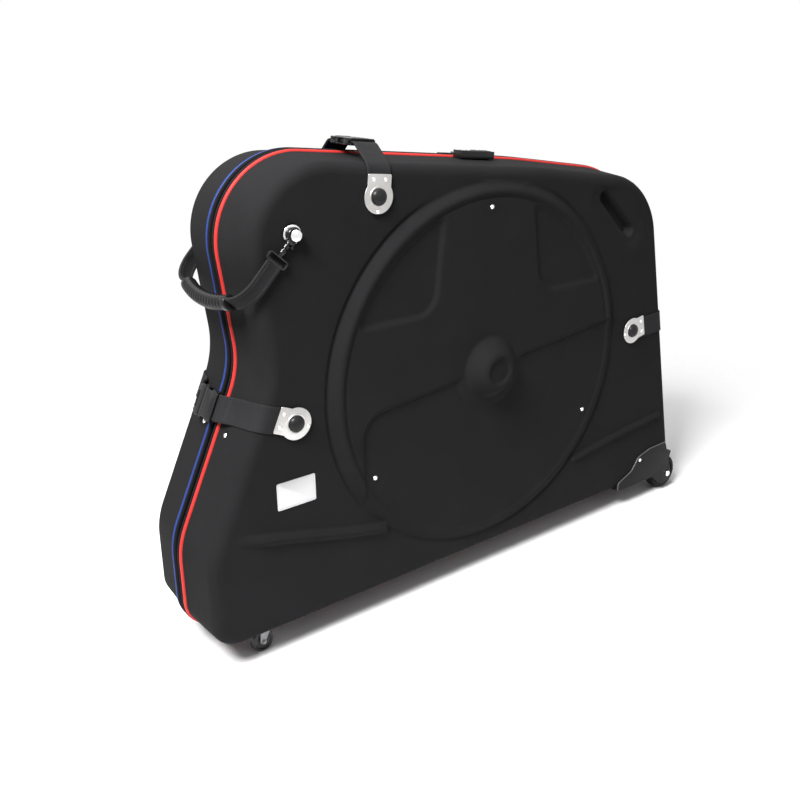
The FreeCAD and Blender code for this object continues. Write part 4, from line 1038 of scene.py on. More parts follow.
class Stock:
    """A mesh in the making, in millimetres in the row's frame."""

    MERGE = 0.001
    HARD_ANGLE = 0.9
    CORNER_STEP = 1.5

    def __init__(self) -> None:
        """Start with nothing."""
        self.shape = bmesh.new()

    def sweep(self, path: np.ndarray, side: Sequence[float], section: np.ndarray, closed: bool = False) -> "Stock":
        """Carry a section along a path.

        Args:
            path: Points of the path, all in one plane.
            side: Direction across that plane.
            section: Offsets across the plane and off the path, one set or one for each point.
            closed: Whether the path comes back to its start; open ends are capped.

        Returns:
            This stock.
        """
        path, side = np.asarray(path, float), np.asarray(side, float)
        ahead = np.roll(path, -1, 0) - np.roll(path, 1, 0)
        if not closed:
            ahead[0], ahead[-1] = path[1] - path[0], path[-1] - path[-2]
        normal = np.cross(side, ahead / np.linalg.norm(ahead, axis=1)[:, None])
        offsets = np.broadcast_to(section, (len(path),) + np.shape(section)[-2:])
        rings = path[:, None] + offsets[..., :1] * side + offsets[..., 1:] * normal[:, None]
        first, last, _ = lofted(self.shape, rings)
        if closed:
            bmesh.ops.bridge_loops(self.shape, edges=first + last)
        else:
            bmesh.ops.edgeloop_fill(self.shape, edges=first)
            bmesh.ops.edgeloop_fill(self.shape, edges=last)
        return self

    def turned(self, profile: Sequence[Point], place: Matrix, closed: bool = False, steps: int = 32,
               wave: Callable[[int], float] = lambda step: 1.0) -> "Stock":
        """Spin a profile about the Z of a place.

        Args:
            profile: Points as radius and height.
            place: Where its axis stands.
            closed: Whether the profile is a closed ring.
            steps: Steps of the spin.
            wave: Scale of the radius at each step, for knurls and treads.

        Returns:
            This stock.
        """
        before = set(self.shape.verts)
        verts = [self.shape.verts.new((r, 0.0, h)) for r, h in profile]
        pairs = list(zip(verts, verts[1:])) + ([(verts[-1], verts[0])] if closed else [])
        edges = [self.shape.edges.new(pair) for pair in pairs]
        bmesh.ops.spin(self.shape, geom=verts + edges, cent=(0, 0, 0), axis=(0, 0, 1), angle=math.tau,
                       steps=steps, use_merge=True)
        fresh = [v for v in self.shape.verts if v not in before]
        for vert in fresh:
            scale = wave(round(math.atan2(vert.co.y, vert.co.x) % math.tau * steps / math.tau) % steps)
            vert.co.x, vert.co.y = vert.co.x * scale, vert.co.y * scale
        bmesh.ops.remove_doubles(self.shape, verts=fresh, dist=self.MERGE)
        self._move_new(before, place)
        return self

    def plate(self, corners: Sequence[Corner], thickness: float, place: Matrix, bevel: float,
              segments: int = 2) -> "Stock":
        """A flat piece with rounded corners and edges.

        Args:
            corners: Outline as x, y and rounding.
            thickness: Height along Z.
            place: Where its underside lies.
            bevel: Rounding of its edges.
            segments: Steps of that rounding.

        Returns:
            This stock.
        """
        before = set(self.shape.verts)
        ring = [self.shape.verts.new((u, v, 0.0)) for u, v in bent(corners, True, self.CORNER_STEP)]
        base = self.shape.faces.new(ring)
        made = bmesh.ops.extrude_face_region(self.shape, geom=[base], use_keep_orig=True)["geom"]
        top = [v for v in made if isinstance(v, bmesh.types.BMVert)]
        bmesh.ops.translate(self.shape, verts=top, vec=(0.0, 0.0, thickness))
        fresh = [v for v in self.shape.verts if v not in before]
        faces = list(dict.fromkeys(f for v in fresh for f in v.link_faces))
        bmesh.ops.recalc_face_normals(self.shape, faces=faces)
        hard = [e for e in dict.fromkeys(e for f in faces for e in f.edges)
                if len(e.link_faces) == 2 and e.calc_face_angle(0.0) > self.HARD_ANGLE]
        bmesh.ops.bevel(self.shape, geom=hard, offset=bevel, offset_type="OFFSET", segments=segments,
                        profile=0.5, affect="EDGES", clamp_overlap=True, material=-1)
        self._move_new(before, place)
        return self

    def _move_new(self, before: set, place: Matrix) -> None:
        """Move what has been added since a set of vertices was taken to its place."""
        fresh = [v for v in self.shape.verts if v not in before]
        bmesh.ops.transform(self.shape, matrix=place, verts=fresh)

    def block(self, low: Corner, high: Corner, place: Matrix, bevel: float, segments: int = 2) -> "Stock":
        """A bar between two corners of a place, with rounded edges."""
        foot = place @ Matrix.Translation((0, 0, low[2]))
        return self.plate(oblong(low, high, 0.0), high[2] - low[2], foot, bevel, segments)

    def in_metres(self, half: Half = Half.NEAR) -> Mesh:
        """The finished mesh, with its faces outwards.

        Args:
            half: Its half; what is made for the near half is mirrored for the far one.

        Returns:
            The mesh.
        """
        scale = Matrix.Diagonal((MM, -half.value * MM, MM, 1.0))
        bmesh.ops.transform(self.shape, matrix=scale, verts=self.shape.verts)
        bmesh.ops.recalc_face_normals(self.shape, faces=self.shape.faces)
        return self.shape

    def finish(self, name: str, body: str, finish: Finish, replaces: Sequence[str] = (), half: Half = Half.NEAR,
               sharp: float = 35.0) -> bpy.types.Object:
        """Turn the stock into a piece, under its full names."""
        return publish(name, self.in_metres(half), body, finish, replaces, sharp)

    def fit(self, half: Half, label: str, finish: Finish, node: str = "", body: str = "") -> bpy.types.Object:
        """Turn the stock into a piece of one half, whose names start with the half's.

        Args:
            half: The half.
            label: Rest of the piece's name.
            finish: Its surface.
            node: Rest of the name of the CAD node that it stands for, if any.
            body: CAD body it moves with, if it isn't the half's own.

        Returns:
            The piece.
        """
        replaces = [f"{half.prefix}_{node}"] if node else []
        return self.finish(f"{half.prefix}_{label}", body or half.body, finish, replaces, half)


@dataclass
class Seam:
    """Piping round each rim, zipper tapes with their coils and lips, and the hinge cloth below."""

    piping: float = 7.4
    piping_y: float = 15.0
    tape: Point = (0.5, 18.6)
    tape_inset: float = 4.9
    tape_thickness: float = 1.2
    coil_inset: float = 3.1
    coil: Point = (2.6, 2.4)
    coil_pitch: float = 1.3
    coil_pinch: float = 0.68
    lip: Corner = (8.3, 4.6, 9.0)
    gusset: Point = (-530.0, 515.0)
    gusset_z: float = 54.9
    gusset_rows: int = 15
    bottom: float = 51.0

    def build(self) -> None:
        """Make the seam of both halves."""
        for half in Half:
            cloth = Finishes.RED if half is Half.NEAR else Finishes.BLUE
            ring = self._ring(0.0, self.piping_y)
            Stock().sweep(ring, ACROSS, oval(self.piping, self.piping, 14), True).fit(
                half, "piping_tube", cloth, "piping")
            self._zipper(half)
        self._gusset()

    def _ring(self, inset: float, y: float) -> np.ndarray:
        """The seam's outline at an inset, at a depth on the near side."""
        ring = OUTLINE.ring(inset)
        return np.stack([ring[:, 0], np.full(len(ring), -y), ring[:, 1]], 1)

    def _zipped(self, inset: float, y: float) -> np.ndarray:
        """The part of the outline that the zipper runs along.

        Args:
            inset: Distance inside the outline.
            y: Depth on the near side.

        Returns:
            Its points.
        """
        ring = self._ring(inset, y)
        left, right = self.gusset
        low = (ring[:, 2] < self.bottom + inset) & (ring[:, 0] > left) & (ring[:, 0] < right)
        return ring[~low]

    def _zipper(self, half: Half) -> None:
        """One half of the zipper.

        Args:
            half: Which half.
        """
        low, high = self.tape
        path = self._zipped(self.tape_inset, (low + high) / 2)
        Stock().sweep(path, ACROSS, flat_section(high - low, self.tape_thickness)).fit(
            half, "zipper_tape", Finishes.TAPE, "zipper_half")
        path = spaced(self._zipped(self.coil_inset, low + self.coil[0] / 2), self.coil_pitch)
        Stock().sweep(path, ACROSS, oval(*self.coil, 6) * beaded(len(path), 2, self.coil_pinch)).fit(
            half, "zipper_coil", Finishes.COIL)
        y, width, height = self.lip
        Stock().sweep(self._zipped(0.0, y), ACROSS, oval(width, height)).fit(half, "zipper_lip", Finishes.TAPE)

    def _gusset(self) -> None:
        """The cloth hinge along the bottom, between the halves."""
        left, right = self.gusset
        reach = self.piping_y + self.piping / 2
        path = [(0.0, y, self.gusset_z) for y in np.linspace(-reach, reach, self.gusset_rows)]
        section = flat_section(right - left, self.tape_thickness, 0.2) + np.array(((left + right) / 2, 0.0))
        piece = stand("hinge_cloth", Stock().sweep(path, ALONG, section).in_metres())
        piece.data.shade_smooth()
        piece.data.materials.append(PAINT.material(Finishes.TAPE))
        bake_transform(piece)
        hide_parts("hinge_gusset")


@dataclass
class Buckle:
    """A side-release buckle: a socket on the near strap, and prongs on the far one."""

    squeeze: float = 0.93
    lid: Tuple[Corner, ...] = ((25, -10, 3), (29, -2, 5), (29, 6, 3), (25.5, 10, 3), (25.5, 22, 3), (29, 26, 2),
                               (29, 32, 3))
    lid_feet: Point = (-6.0, 3.1)
    socket_bars: Tuple[Bar, ...] = (
        ((-27.5, -9.0, -4.0), (27.5, -7.5, -1.4), 0.4), ((-27.5, -9.0, 1.4), (27.5, -1.0, 4.0), 0.4),
        ((-28.6, 24.5, -4.0), (-26.2, 31.5, 4.0), 0.5), ((-28.6, -7.0, -4.0), (-26.2, 7.0, 4.0), 0.5),
        ((26.2, 24.5, -4.0), (28.6, 31.5, 4.0), 0.5), ((26.2, -7.0, -4.0), (28.6, 7.0, 4.0), 0.5),
        ((-16.0, -5.5, 5.4), (16.0, -3.9, 6.5), 0.5), ((-16.0, -2.0, 5.4), (16.0, -0.4, 6.5), 0.5),
        ((-16.0, 1.5, 5.4), (16.0, 3.1, 6.5), 0.5))
    base: Tuple[Corner, ...] = ((24, -55, 4), (29, -46, 6), (29, -34, 2))
    base_feet: Point = (-5.9, 1.4)
    arm: Tuple[Corner, ...] = ((17, -35, 0), (24, -35, 0), (24.5, -22, 4), (25, -14, 2), (22, -8, 2), (17.5, -8, 2),
                               (19, -22, 4))
    prong_bars: Tuple[Bar, ...] = (
        ((-28.0, -46.0, -2.0), (28.0, -34.0, 2.0), 0.5), ((-6.5, -35.0, -2.3), (6.5, -9.0, 2.3), 0.7),
        ((-15.0, -53.0, 5.6), (15.0, -51.5, 6.6), 0.5), ((-15.0, -50.0, 5.6), (15.0, -48.5, 6.6), 0.5))

    def build(self, half: Half, label: str, place: Matrix) -> None:
        """Make one half of the buckle.

        Args:
            half: Which half.
            label: The strap's name.
            place: Where the buckle lies on its strap.
        """
        at = place @ Matrix.Diagonal((self.squeeze, 1.0, 1.0, 1.0))
        stock = Stock()
        if half is Half.NEAR:
            for low in self.lid_feet:
                stock.plate(both_sides(self.lid), 2.9, at @ Matrix.Translation((0, 0, low)), 1.1, 3)
        else:
            for low in self.base_feet:
                stock.plate(both_sides(self.base), 4.5, at @ Matrix.Translation((0, 0, low)), 1.5, 3)
            for flip in (-1, 1):
                arm = [(x * flip, y, radius) for x, y, radius in self.arm]
                stock.plate(arm[::flip], 4.6, at @ Matrix.Translation((0, 0, -2.3)), 0.7)
        for low, high, bevel in self.socket_bars if half is Half.NEAR else self.prong_bars:
            stock.block(low, high, at, bevel)
        stock.fit(half, label + "_buckle_moulding", Finishes.BUCKLE, label + "_buckle")


@dataclass
class StrapSet:
    """One strap across the seam: webbing with its sewn fold and its buckle, near and far."""

    name: str
    run: int
    x: Optional[float]
    z: Optional[float]
    stud_inset: float
    rise: float
    near_end: float
    lead: float
    lies: bool = True
    wall_skew: float = 0.0
    face_skew: float = 0.0
    face: float = 115.0
    rim: float = 19.0
    draft: float = 9.0
    width: float = 46.0
    thickness: float = 2.5
    hem: float = 0.25
    gap: float = 0.4
    tail: float = 12.0
    corner: float = -13.0
    turn: float = 21.25
    bend: float = 14.0
    climb: float = 20.0
    straight: float = 15.0
    grip: float = 8.0
    buckle_length: float = 65.0
    buckle_overlap: float = 10.0
    fold: float = 46.0
    stitch_rows: Point = (0.10, 0.22)
    stitch_inset: float = 5.0
    stitch_count: int = 25

    def __post_init__(self) -> None:
        """Find the strap's place on the outline, and the direction across it."""
        self.place = OUTLINE.on_run(self.run, 0.0, self.x, self.z)
        self.side, _, self.out = (np.array(axis) for axis in self.place.to_3x3().col)

    def _on_wall(self, y: float) -> float:
        """Height over the outline at which the webbing lies on the wall."""
        return self.thickness / 2 + self.gap - self.draft * (-y - self.rim) / (self.face - self.rim)

    def route(self, stop: float, lead: float, lies: bool) -> np.ndarray:
        """The webbing's middle line from under its plate to its buckle.

        Args:
            stop: Where it ends in the buckle.
            lead: Depth from which it runs level to the buckle, at the least.
            lies: Whether it lies on the wall before it climbs.

        Returns:
            Points in the row's frame, on the near side.
        """
        lay = -(self.face + self.thickness / 2)
        level = min(-lead, stop - self.straight)
        line = [(lay, -self.stud_inset - self.tail, 0.0),
                (lay, self._on_wall(lay) if lies else self.corner, self.turn)]
        if lies:
            line.append((level - self.climb, self._on_wall(level - self.climb), self.bend))
        line += [(level, self.rise, self.bend), (stop, self.rise, 0.0)]
        points = []
        for y, z in spaced(bent(line)):
            wall, face = (stop - y) / (stop - lay), (self.rise - z) / (self.rise + self.stud_inset)
            points.append((self.wall_skew * wall + self.face_skew * face, y, z))
        return placed(self.place, points)

    def stud_place(self, lift: float) -> Matrix:
        """On the plate's face at the stud, with Z outwards."""
        spot = (self.wall_skew + self.face_skew, -self.face - lift, -self.stud_inset)
        return self.place @ Matrix.Translation(spot) @ Matrix.Rotation(QUARTER_TURN, 4, "X")

    def build(self) -> None:
        """Make both halves of the strap."""
        ends = {Half.NEAR: (self.grip - self.near_end, self.lead, self.lies),
                Half.FAR: (self.grip + self.near_end - self.buckle_length, 0.0, True)}
        for half in Half:
            path = self.route(*ends[half])
            Stock().sweep(path, self.side, flat_section(self.width, self.thickness, self.hem)).fit(
                half, self.name + "_webbing", Finishes.WEBBING, self.name + "_strap")
            self._fold(half, path)
            slide = half.value * (self.near_end - self.buckle_overlap)
            Buckle().build(half, self.name, self.place @ Matrix.Translation((0, slide, self.rise)))

    def _fold(self, half: Half, path: np.ndarray) -> None:
        """The turned-back end of the webbing at the buckle, with its rows of stitches.

        Args:
            half: Which half.
            path: The webbing's middle line.
        """
        travel = np.linalg.norm(np.diff(path, axis=0), axis=1)[::-1].cumsum()
        layer = path[-int(np.searchsorted(travel, self.fold)):-4]
        section = flat_section(self.width - 1.5, self.thickness * 0.8)
        Stock().sweep(layer - self.out * self.thickness * 0.9, self.side, section).fit(
            half, self.name + "_webbing_fold", Finishes.WEBBING)
        rows = Stock()
        reach = self.side * (self.width / 2 - self.stitch_inset)
        for share in self.stitch_rows:
            middle = layer[int(share * len(layer))] + self.out * (self.thickness / 2 + 0.05)
            line = np.linspace(middle - reach, middle + reach, self.stitch_count)
            rows.sweep(line, ACROSS, oval(1.1, 0.7, 6) * beaded(self.stitch_count, 3, 0.2))
        rows.fit(half, self.name + "_webbing_stitching", Finishes.THREAD)


STRAP_SETS = (
    StrapSet("top", 3, -243.0, None, 61.5, 21.0, 64.0, 70.0, False),
    StrapSet("left", 1, None, 434.0, 73.5, 14.0, 12.0, 31.0, True, 16.0, 6.0),
    StrapSet("right", 5, None, 424.0, 110.7, 14.0, 12.0, 31.0, True, -4.0, -18.0),
)


@dataclass
class Fasteners:
    """The studs and pressed rings of the stamped plates, and every rivet with its dark ring of painted shade, on both
    halves.
    """

    rivet: float = 4.5
    rivet_height: float = 2.6
    # Outer radius of the dark ring of painted shade round each rivet.
    collar: float = 6.3
    pip: float = 3.5
    pip_height: float = 1.6
    pips: Tuple[Point, ...] = ((-11.5, 28.0), (11.5, 28.0), (0.0, -24.0))
    ring: Tuple[Point, ...] = ((15.0, -0.6), (15.2, 0.5), (16.4, 0.9), (17.8, 0.6), (18.6, -0.6))
    plate_top: float = 4.5
    stud: float = 14.5
    stud_height: float = 9.0
    disc_ring: float = 303.0
    disc_angles: Corner = (90, -30, -150)
    wall_run: int = 1
    wall_z: float = 402.0
    wall_y: float = 40.0
    cover: Corner = (456.6, 104.0, 118.0)

    def seats(self) -> List[Matrix]:
        """Where the rivets through the shell and the wheel cover sit, with Z outwards.

        Returns:
            Their placements.
        """
        shell = MouldedShell(Half.NEAR)
        cx, cz, _ = shell.disc
        spots = []
        for angle in self.disc_angles:
            x = cx + self.disc_ring * math.cos(math.radians(angle))
            z = cz + self.disc_ring * math.sin(math.radians(angle))
            spots.append((x, z, shell.depth + float(shell.height(np.array(x), np.array(z)))))
        seats = [on_face(x, depth, z) for x, z, depth in spots + [self.cover]]
        sunk = shell.draft * (self.wall_y - shell.rim) / (shell.depth - shell.edge - shell.rim)
        return seats + [OUTLINE.on_run(self.wall_run, -self.wall_y, z=self.wall_z, sunk=sunk)]

    def build(self) -> None:
        """Make the fasteners of both halves."""
        head = [(self.rivet, -1.0)] + dome(self.rivet, self.rivet_height, 6)
        # Profile of the flat dark ring round each rivet head, which is painted shade.
        collar = [(self.collar, -1.0), (self.collar, 0.25), (self.collar - 0.8, 0.7), (self.rivet, 0.5)]
        for half in Half:
            heads, shade_rings, studs, rings = Stock(), Stock(), Stock(), Stock()
            for place in self.seats():
                heads.turned(head, place, steps=20)
                shade_rings.turned(collar, place, steps=24)
            for strap in STRAP_SETS:
                self._plate(strap.stud_place(self.plate_top), heads, studs, rings)
            heads.fit(half, "rivet_heads", Finishes.RIVET, "rivets")
            # The dark rings round the rivets are painted shade.
            shade_rings.fit(half, "rivet_shade_rings", Finishes.COLLAR)
            studs.fit(half, "stud_domes", Finishes.STUD, "anchor_studs")
            rings.fit(half, "plate_rings", Finishes.PLATE)

    def _plate(self, place: Matrix, heads: Stock, studs: Stock, rings: Stock) -> None:
        """The stud, the pressed ring round it and the three pips of one plate.

        Args:
            place: Where the stud stands.
            heads: Stock of the rivet heads.
            studs: Stock of the studs.
            rings: Stock of the pressed rings.
        """
        studs.turned([(self.stud, -0.5)] + dome(self.stud, self.stud_height, 9), place)
        rings.turned(self.ring, place)
        pip = [(self.pip, -0.5)] + dome(self.pip, self.pip_height, 5)
        for x, y in self.pips:
            heads.turned(pip, place @ Matrix.Translation((x, y, 0)), steps=16)


@dataclass
class Handle:
    """Post eyes on the shells, snap hooks on the posts, sewn straps and a ribbed grip."""

    eye: Corner = (-408.0, 0.0, 733.0)
    drop: float = 47.3
    floor: float = 112.5
    middle: float = 120.0
    radius: float = 137.0
    bow: float = 11.0
    grip: float = 77.0
    grip_size: Point = (27.0, 24.0)
    grip_rows: int = 113
    grip_collar: float = 9.0
    grip_end: float = 1.2
    rib_pitch: float = 8.8
    rib_rise: float = 0.07
    strap_width: float = 29.0
    strap_thickness: float = 4.2
    strap_bend: float = 42.0
    strap_lap: float = 6.0
    stitch_inset: float = 5.4
    hook_length: float = 44.0
    hook_ring: float = 9.6
    hook_wire: Point = (2.9, 3.3)
    hook_barrel: Tuple[Point, ...] = (
        (0, 11), (3.6, 11), (4.4, 13), (4.4, 17), (3.0, 18), (3.0, 19), (5.2, 20), (5.2, 25), (3.2, 26), (3.2, 28),
        (5.6, 29), (5.6, 34), (4.0, 36), (2.6, 41), (0, 41))
    hook_bars: Tuple[Bar, ...] = (
        ((8.0, -2.6, 6.0), (21.0, 2.6, 9.6), 1.2), ((16.0, -1.6, 8.8), (19.5, 1.6, 12.2), 0.8))
    hook_loop: Tuple[Point, Point] = ((41, -18.5), (53.5, 18.5))
    post: Tuple[Point, ...] = (
        (16.0, 0.0), (16.0, 1.2), (15.2, 2.2), (12.5, 2.9), (7.6, 3.1), (6.4, 3.8), (6.3, 11.2))

    def __post_init__(self) -> None:
        """Find the handle's frame: X along the strap, away from the eyes."""
        turn = math.radians(self.drop)
        out = Vector((-math.cos(turn), 0.0, -math.sin(turn)))
        self.place = seat(self.eye, out, out.cross(Vector(ACROSS)))
        self.side = tuple(self.place.to_3x3().col[2])

    def _points(self, flat: np.ndarray) -> np.ndarray:
        """Points of the handle's plane in the row's frame."""
        return placed(self.place, [(x, y, 0.0) for x, y in flat])

    def build(self) -> None:
        """Make the whole handle."""
        self._grip()
        for half in Half:
            body = "near_handle_strap" if half is Half.NEAR else "handle"
            self._strap(half, body)
            self._hook(half, body)
            self._post(half)

    def _grip(self) -> None:
        """The bowed grip, ribbed between two smooth end bands."""
        span = np.linspace(-self.grip, self.grip, self.grip_rows)
        arc = np.stack([self.radius + self.bow * (1 - (span / self.grip) ** 2), span], 1)
        inner = np.clip((self.grip - self.grip_collar - np.abs(span)) / 3.0, 0.0, 1.0)
        ribs = 1.0 + self.rib_rise * (np.cos(span * math.tau / self.rib_pitch) * inner + 1 - inner)
        ends = np.where(np.abs(span) > self.grip - self.grip_end, 0.9, 1.0)
        section = oval(*self.grip_size, 24) * (ribs * ends)[:, None, None]
        Stock().sweep(self._points(arc), self.side, section).finish(
            "handle_grip_moulding", "handle", Finishes.GRIP, ["handle_grip"])

    def _strap(self, half: Half, body: str) -> None:
        """A sewn strap between the hook and the grip.

        Args:
            half: Which half.
            body: CAD body it moves with.
        """
        line = bent([(self.hook_length + self.strap_lap, -self.middle, 0.0),
                     (self.radius, -self.middle, self.strap_bend), (self.radius, -self.grip + self.strap_lap, 0.0)])
        path = self._points(spaced(line))
        Stock().sweep(path, self.side, flat_section(self.strap_width, self.strap_thickness, 0.4)).fit(
            half, "handle_webbing", Finishes.WEBBING, "handle_strap", body)
        rows = Stock()
        stitch = oval(0.9, 0.6, 6) * beaded(len(path), 2, 0.3)
        across, lift = self.strap_width / 2 - self.stitch_inset, self.strap_thickness / 2 + 0.05
        for offset in (-across, across):
            for side in (-lift, lift):
                rows.sweep(path, self.side, stitch + np.array((offset, side)))
        rows.fit(half, "handle_stitching", Finishes.THREAD, body=body)

    def _hook(self, half: Half, body: str) -> None:
        """A snap hook: a ring with a gate, a swivel barrel and a loop for the strap.

        Args:
            half: Which half.
            body: CAD body it moves with.
        """
        centre = self.place @ Matrix.Translation((0, -self.middle, 0))
        wide, high = self.hook_wire
        wire = [(self.hook_ring + wide * math.cos(t), high * math.sin(t)) for t in np.arange(10) * math.tau / 10]
        stock = Stock().turned(wire, centre @ Matrix.Rotation(QUARTER_TURN, 4, "X"), True)
        stock.turned(self.hook_barrel, centre @ Matrix.Rotation(QUARTER_TURN, 4, "Y"), steps=20)
        for low, top, bevel in self.hook_bars:
            stock.block(low, top, centre, bevel)
        loop = placed(centre, [(x, 0.0, z) for x, z in bent(oblong(*self.hook_loop, 4), True)])
        stock.sweep(loop, ACROSS, oval(5.6, 4.6, 10), True)
        stock.fit(half, "snap_hook_casting", Finishes.HOOK, "snap_hook", body)

    def _post(self, half: Half) -> None:
        """The bright post that the hook clips to.

        Args:
            half: Which half.
        """
        profile = list(self.post) + dome(10.0, 4.6, 9, 15.2, -0.85)
        stock = Stock().turned(profile, on_face(self.eye[0], self.floor, self.eye[2]), steps=40)
        stock.fit(half, "eye_post", Finishes.BRIGHT, "handle_eye")


@dataclass
class RunningGear:
    """Treaded rear wheels, the rolled edges of their covers in a lighter grey that is a painted highlight, and
    casters.
    """

    wheel: Corner = (560.0, 93.0, 40.0)
    tyre_half: float = 15.0
    rim: float = 29.0
    tread_every: int = 4
    tread_dip: float = 0.98
    hub: Tuple[Point, ...] = ((4.1, -18.2), (9.5, -18.2), (11.0, -17.0), (11.0, -6.0), (13.0, -4.5), (23.0, -4.5),
                              (24.5, -8.0), (28.9, -10.0))
    spokes: int = 5
    spoke: Bar = ((10.0, -2.2, -8.5), (25.5, 2.2, 8.5), 0.8)
    caster: Corner = (-491.0, 76.0, 20.0)
    caster_half: float = 7.5
    bolt: Tuple[Point, ...] = ((4.6, 0), (4.6, 0.8), (3.6, 0.9), (3.4, 2.4), (2.6, 3.0), (0, 3.1))
    bolt_out: float = 10.2
    cover_edge: Tuple[Corner, ...] = (
        (386.0, 48.0, 0.0), (386.0, 65.0, 7.0), (430.1, 83.9, 22.0), (452.1, 113.0, 22.0), (489.9, 123.4, 22.0),
        (546.0, 125.0, 0.0))
    cover_edge_y: float = -117.5
    cover_edge_size: Point = (2.4, 2.25)

    def build(self) -> None:
        """Make the gear of both halves."""
        for half in Half:
            self._rear(half)
            self._front(half)
            # The cover's edge bead is real geometry; its lighter grey is a painted highlight.
            path = [(x, self.cover_edge_y, z) for x, z in spaced(bent(self.cover_edge))]
            Stock().sweep(path, ACROSS, oval(*self.cover_edge_size, 8)).fit(half, "cover_edge", Finishes.EDGE)

    def _rear(self, half: Half) -> None:
        """A tyre with tread blocks and a spoked hub.

        Args:
            half: Which half.
        """
        x, y, r = self.wheel
        place = on_face(x, y, r)
        w = self.tyre_half
        tyre = both_ends([(self.rim, -w), (35.0, -w), (37.6, -w + 1.4), (39.3, -w + 3.6), (r, -w + 6.4), (r, -3.0),
                          (38.8, -2.4)])
        body = half.prefix + "_rear_wheel"
        Stock().turned(tyre, place, True, 96, lambda k: 1.0 if k % self.tread_every else self.tread_dip).fit(
            half, "tyre_tread", Finishes.TYRE, "rear_tyre", body)
        hub = Stock().turned(both_ends(self.hub), place, True)
        low, high, bevel = self.spoke
        for k in range(self.spokes):
            hub.block(low, high, place @ Matrix.Rotation(k * math.tau / self.spokes, 4, "Z"), bevel)
        hub.fit(half, "hub_moulding", Finishes.HUB, "rear_hub", body)

    def _front(self, half: Half) -> None:
        """A caster's wheel with its cap rings, and the bolt heads on its fork.

        Args:
            half: Which half.
        """
        x, y, r = self.caster
        place = on_face(x, y, r)
        w = self.caster_half
        roller = both_ends([(2.6, -w), (8.6, -w), (9.6, -w + 1.8), (14.2, -w + 1.8), (15.4, -w), (17.4, -w),
                            (19.2, -w + 1.0), (r, -w + 3.0)])
        Stock().turned(roller, place, True, 40).fit(
            half, "caster_roller_moulding", Finishes.ROLLER, "caster_wheel", half.prefix + "_caster_roller")
        bolts = Stock()
        for turn in (math.pi, 0.0):
            end = place @ Matrix.Rotation(turn, 4, "X") @ Matrix.Translation((0, 0, self.bolt_out))
            bolts.turned(self.bolt, end, steps=12)
        bolts.fit(half, "caster_bolts", Finishes.FORK, body=half.prefix + "_caster")


@dataclass
class Lock:
    """The lock's knurled dials, ridged button and bezel."""

    run: int = 3
    x: float = -16.0
    length: float = 78.0
    width: float = 26.0
    height: float = 14.0
    y: float = 20.0
    pitch: float = 7.0
    dial: float = 5.0
    dial_width: float = 4.0
    dial_bore: float = 1.05
    dial_show: float = 1.6
    knurl_dip: float = 0.93
    button: Point = (12.0, 1.5)
    ridge_pitch: float = 2.3

    def __post_init__(self) -> None:
        """Find the lock's corner on the top run, and where its first dial starts."""
        self.place = OUTLINE.on_run(self.run, -self.y - self.width, x=self.x)
        self.first = self.length - 4 * self.pitch

    def build(self) -> None:
        """Make the dials, the button and the bezel."""
        r, w, bore = self.dial, self.dial_width, self.dial_bore
        profile = [(bore, 0), (r - 0.7, 0), (r, 0.6), (r, w - 0.6), (r - 0.7, w), (bore, w)]
        for number in range(3):
            spot = (self.first + number * self.pitch, self.width / 2, self.height + self.dial_show - self.dial)
            axis = self.place @ Matrix.Translation(spot) @ Matrix.Rotation(QUARTER_TURN, 4, "Y")
            node = f"lock_dial_{number + 1}"
            Stock().turned(profile, axis, True, 40, lambda k: 1.0 if k % 4 < 2 else self.knurl_dip).finish(
                node + "_knurled", node, Finishes.DIAL, [node], sharp=20.0)
        self._button()
        rim = bent(oblong((self.first - 3.5, 5.5), (self.length - 4.5, 20.5), 2), True)
        path = placed(self.place, [(u, v, self.height) for u, v in rim])
        bezel = Stock().sweep(path, tuple(self.place.to_3x3().col[2]), oval(1.4, 1.2, 8), True)
        bezel.finish("lock_bezel", "near_half", Finishes.LOCK)

    def _button(self) -> None:
        """The button beside the dials, with its ridges."""
        long, proud = self.button
        left, top = self.first - self.pitch - long, self.height + proud
        button = Stock().block((left, 9.0, top - 3.0), (left + long, 17.0, top - 0.4), self.place, 0.9, 3)
        for k in range(4):
            at = left + k * self.ridge_pitch
            button.block((at + 2.0, 10.5, top - 0.6), (at + 3.1, 15.5, top), self.place, 0.3)
        button.finish("lock_button_moulding", "lock_button", Finishes.BUTTON, ["lock_button"])


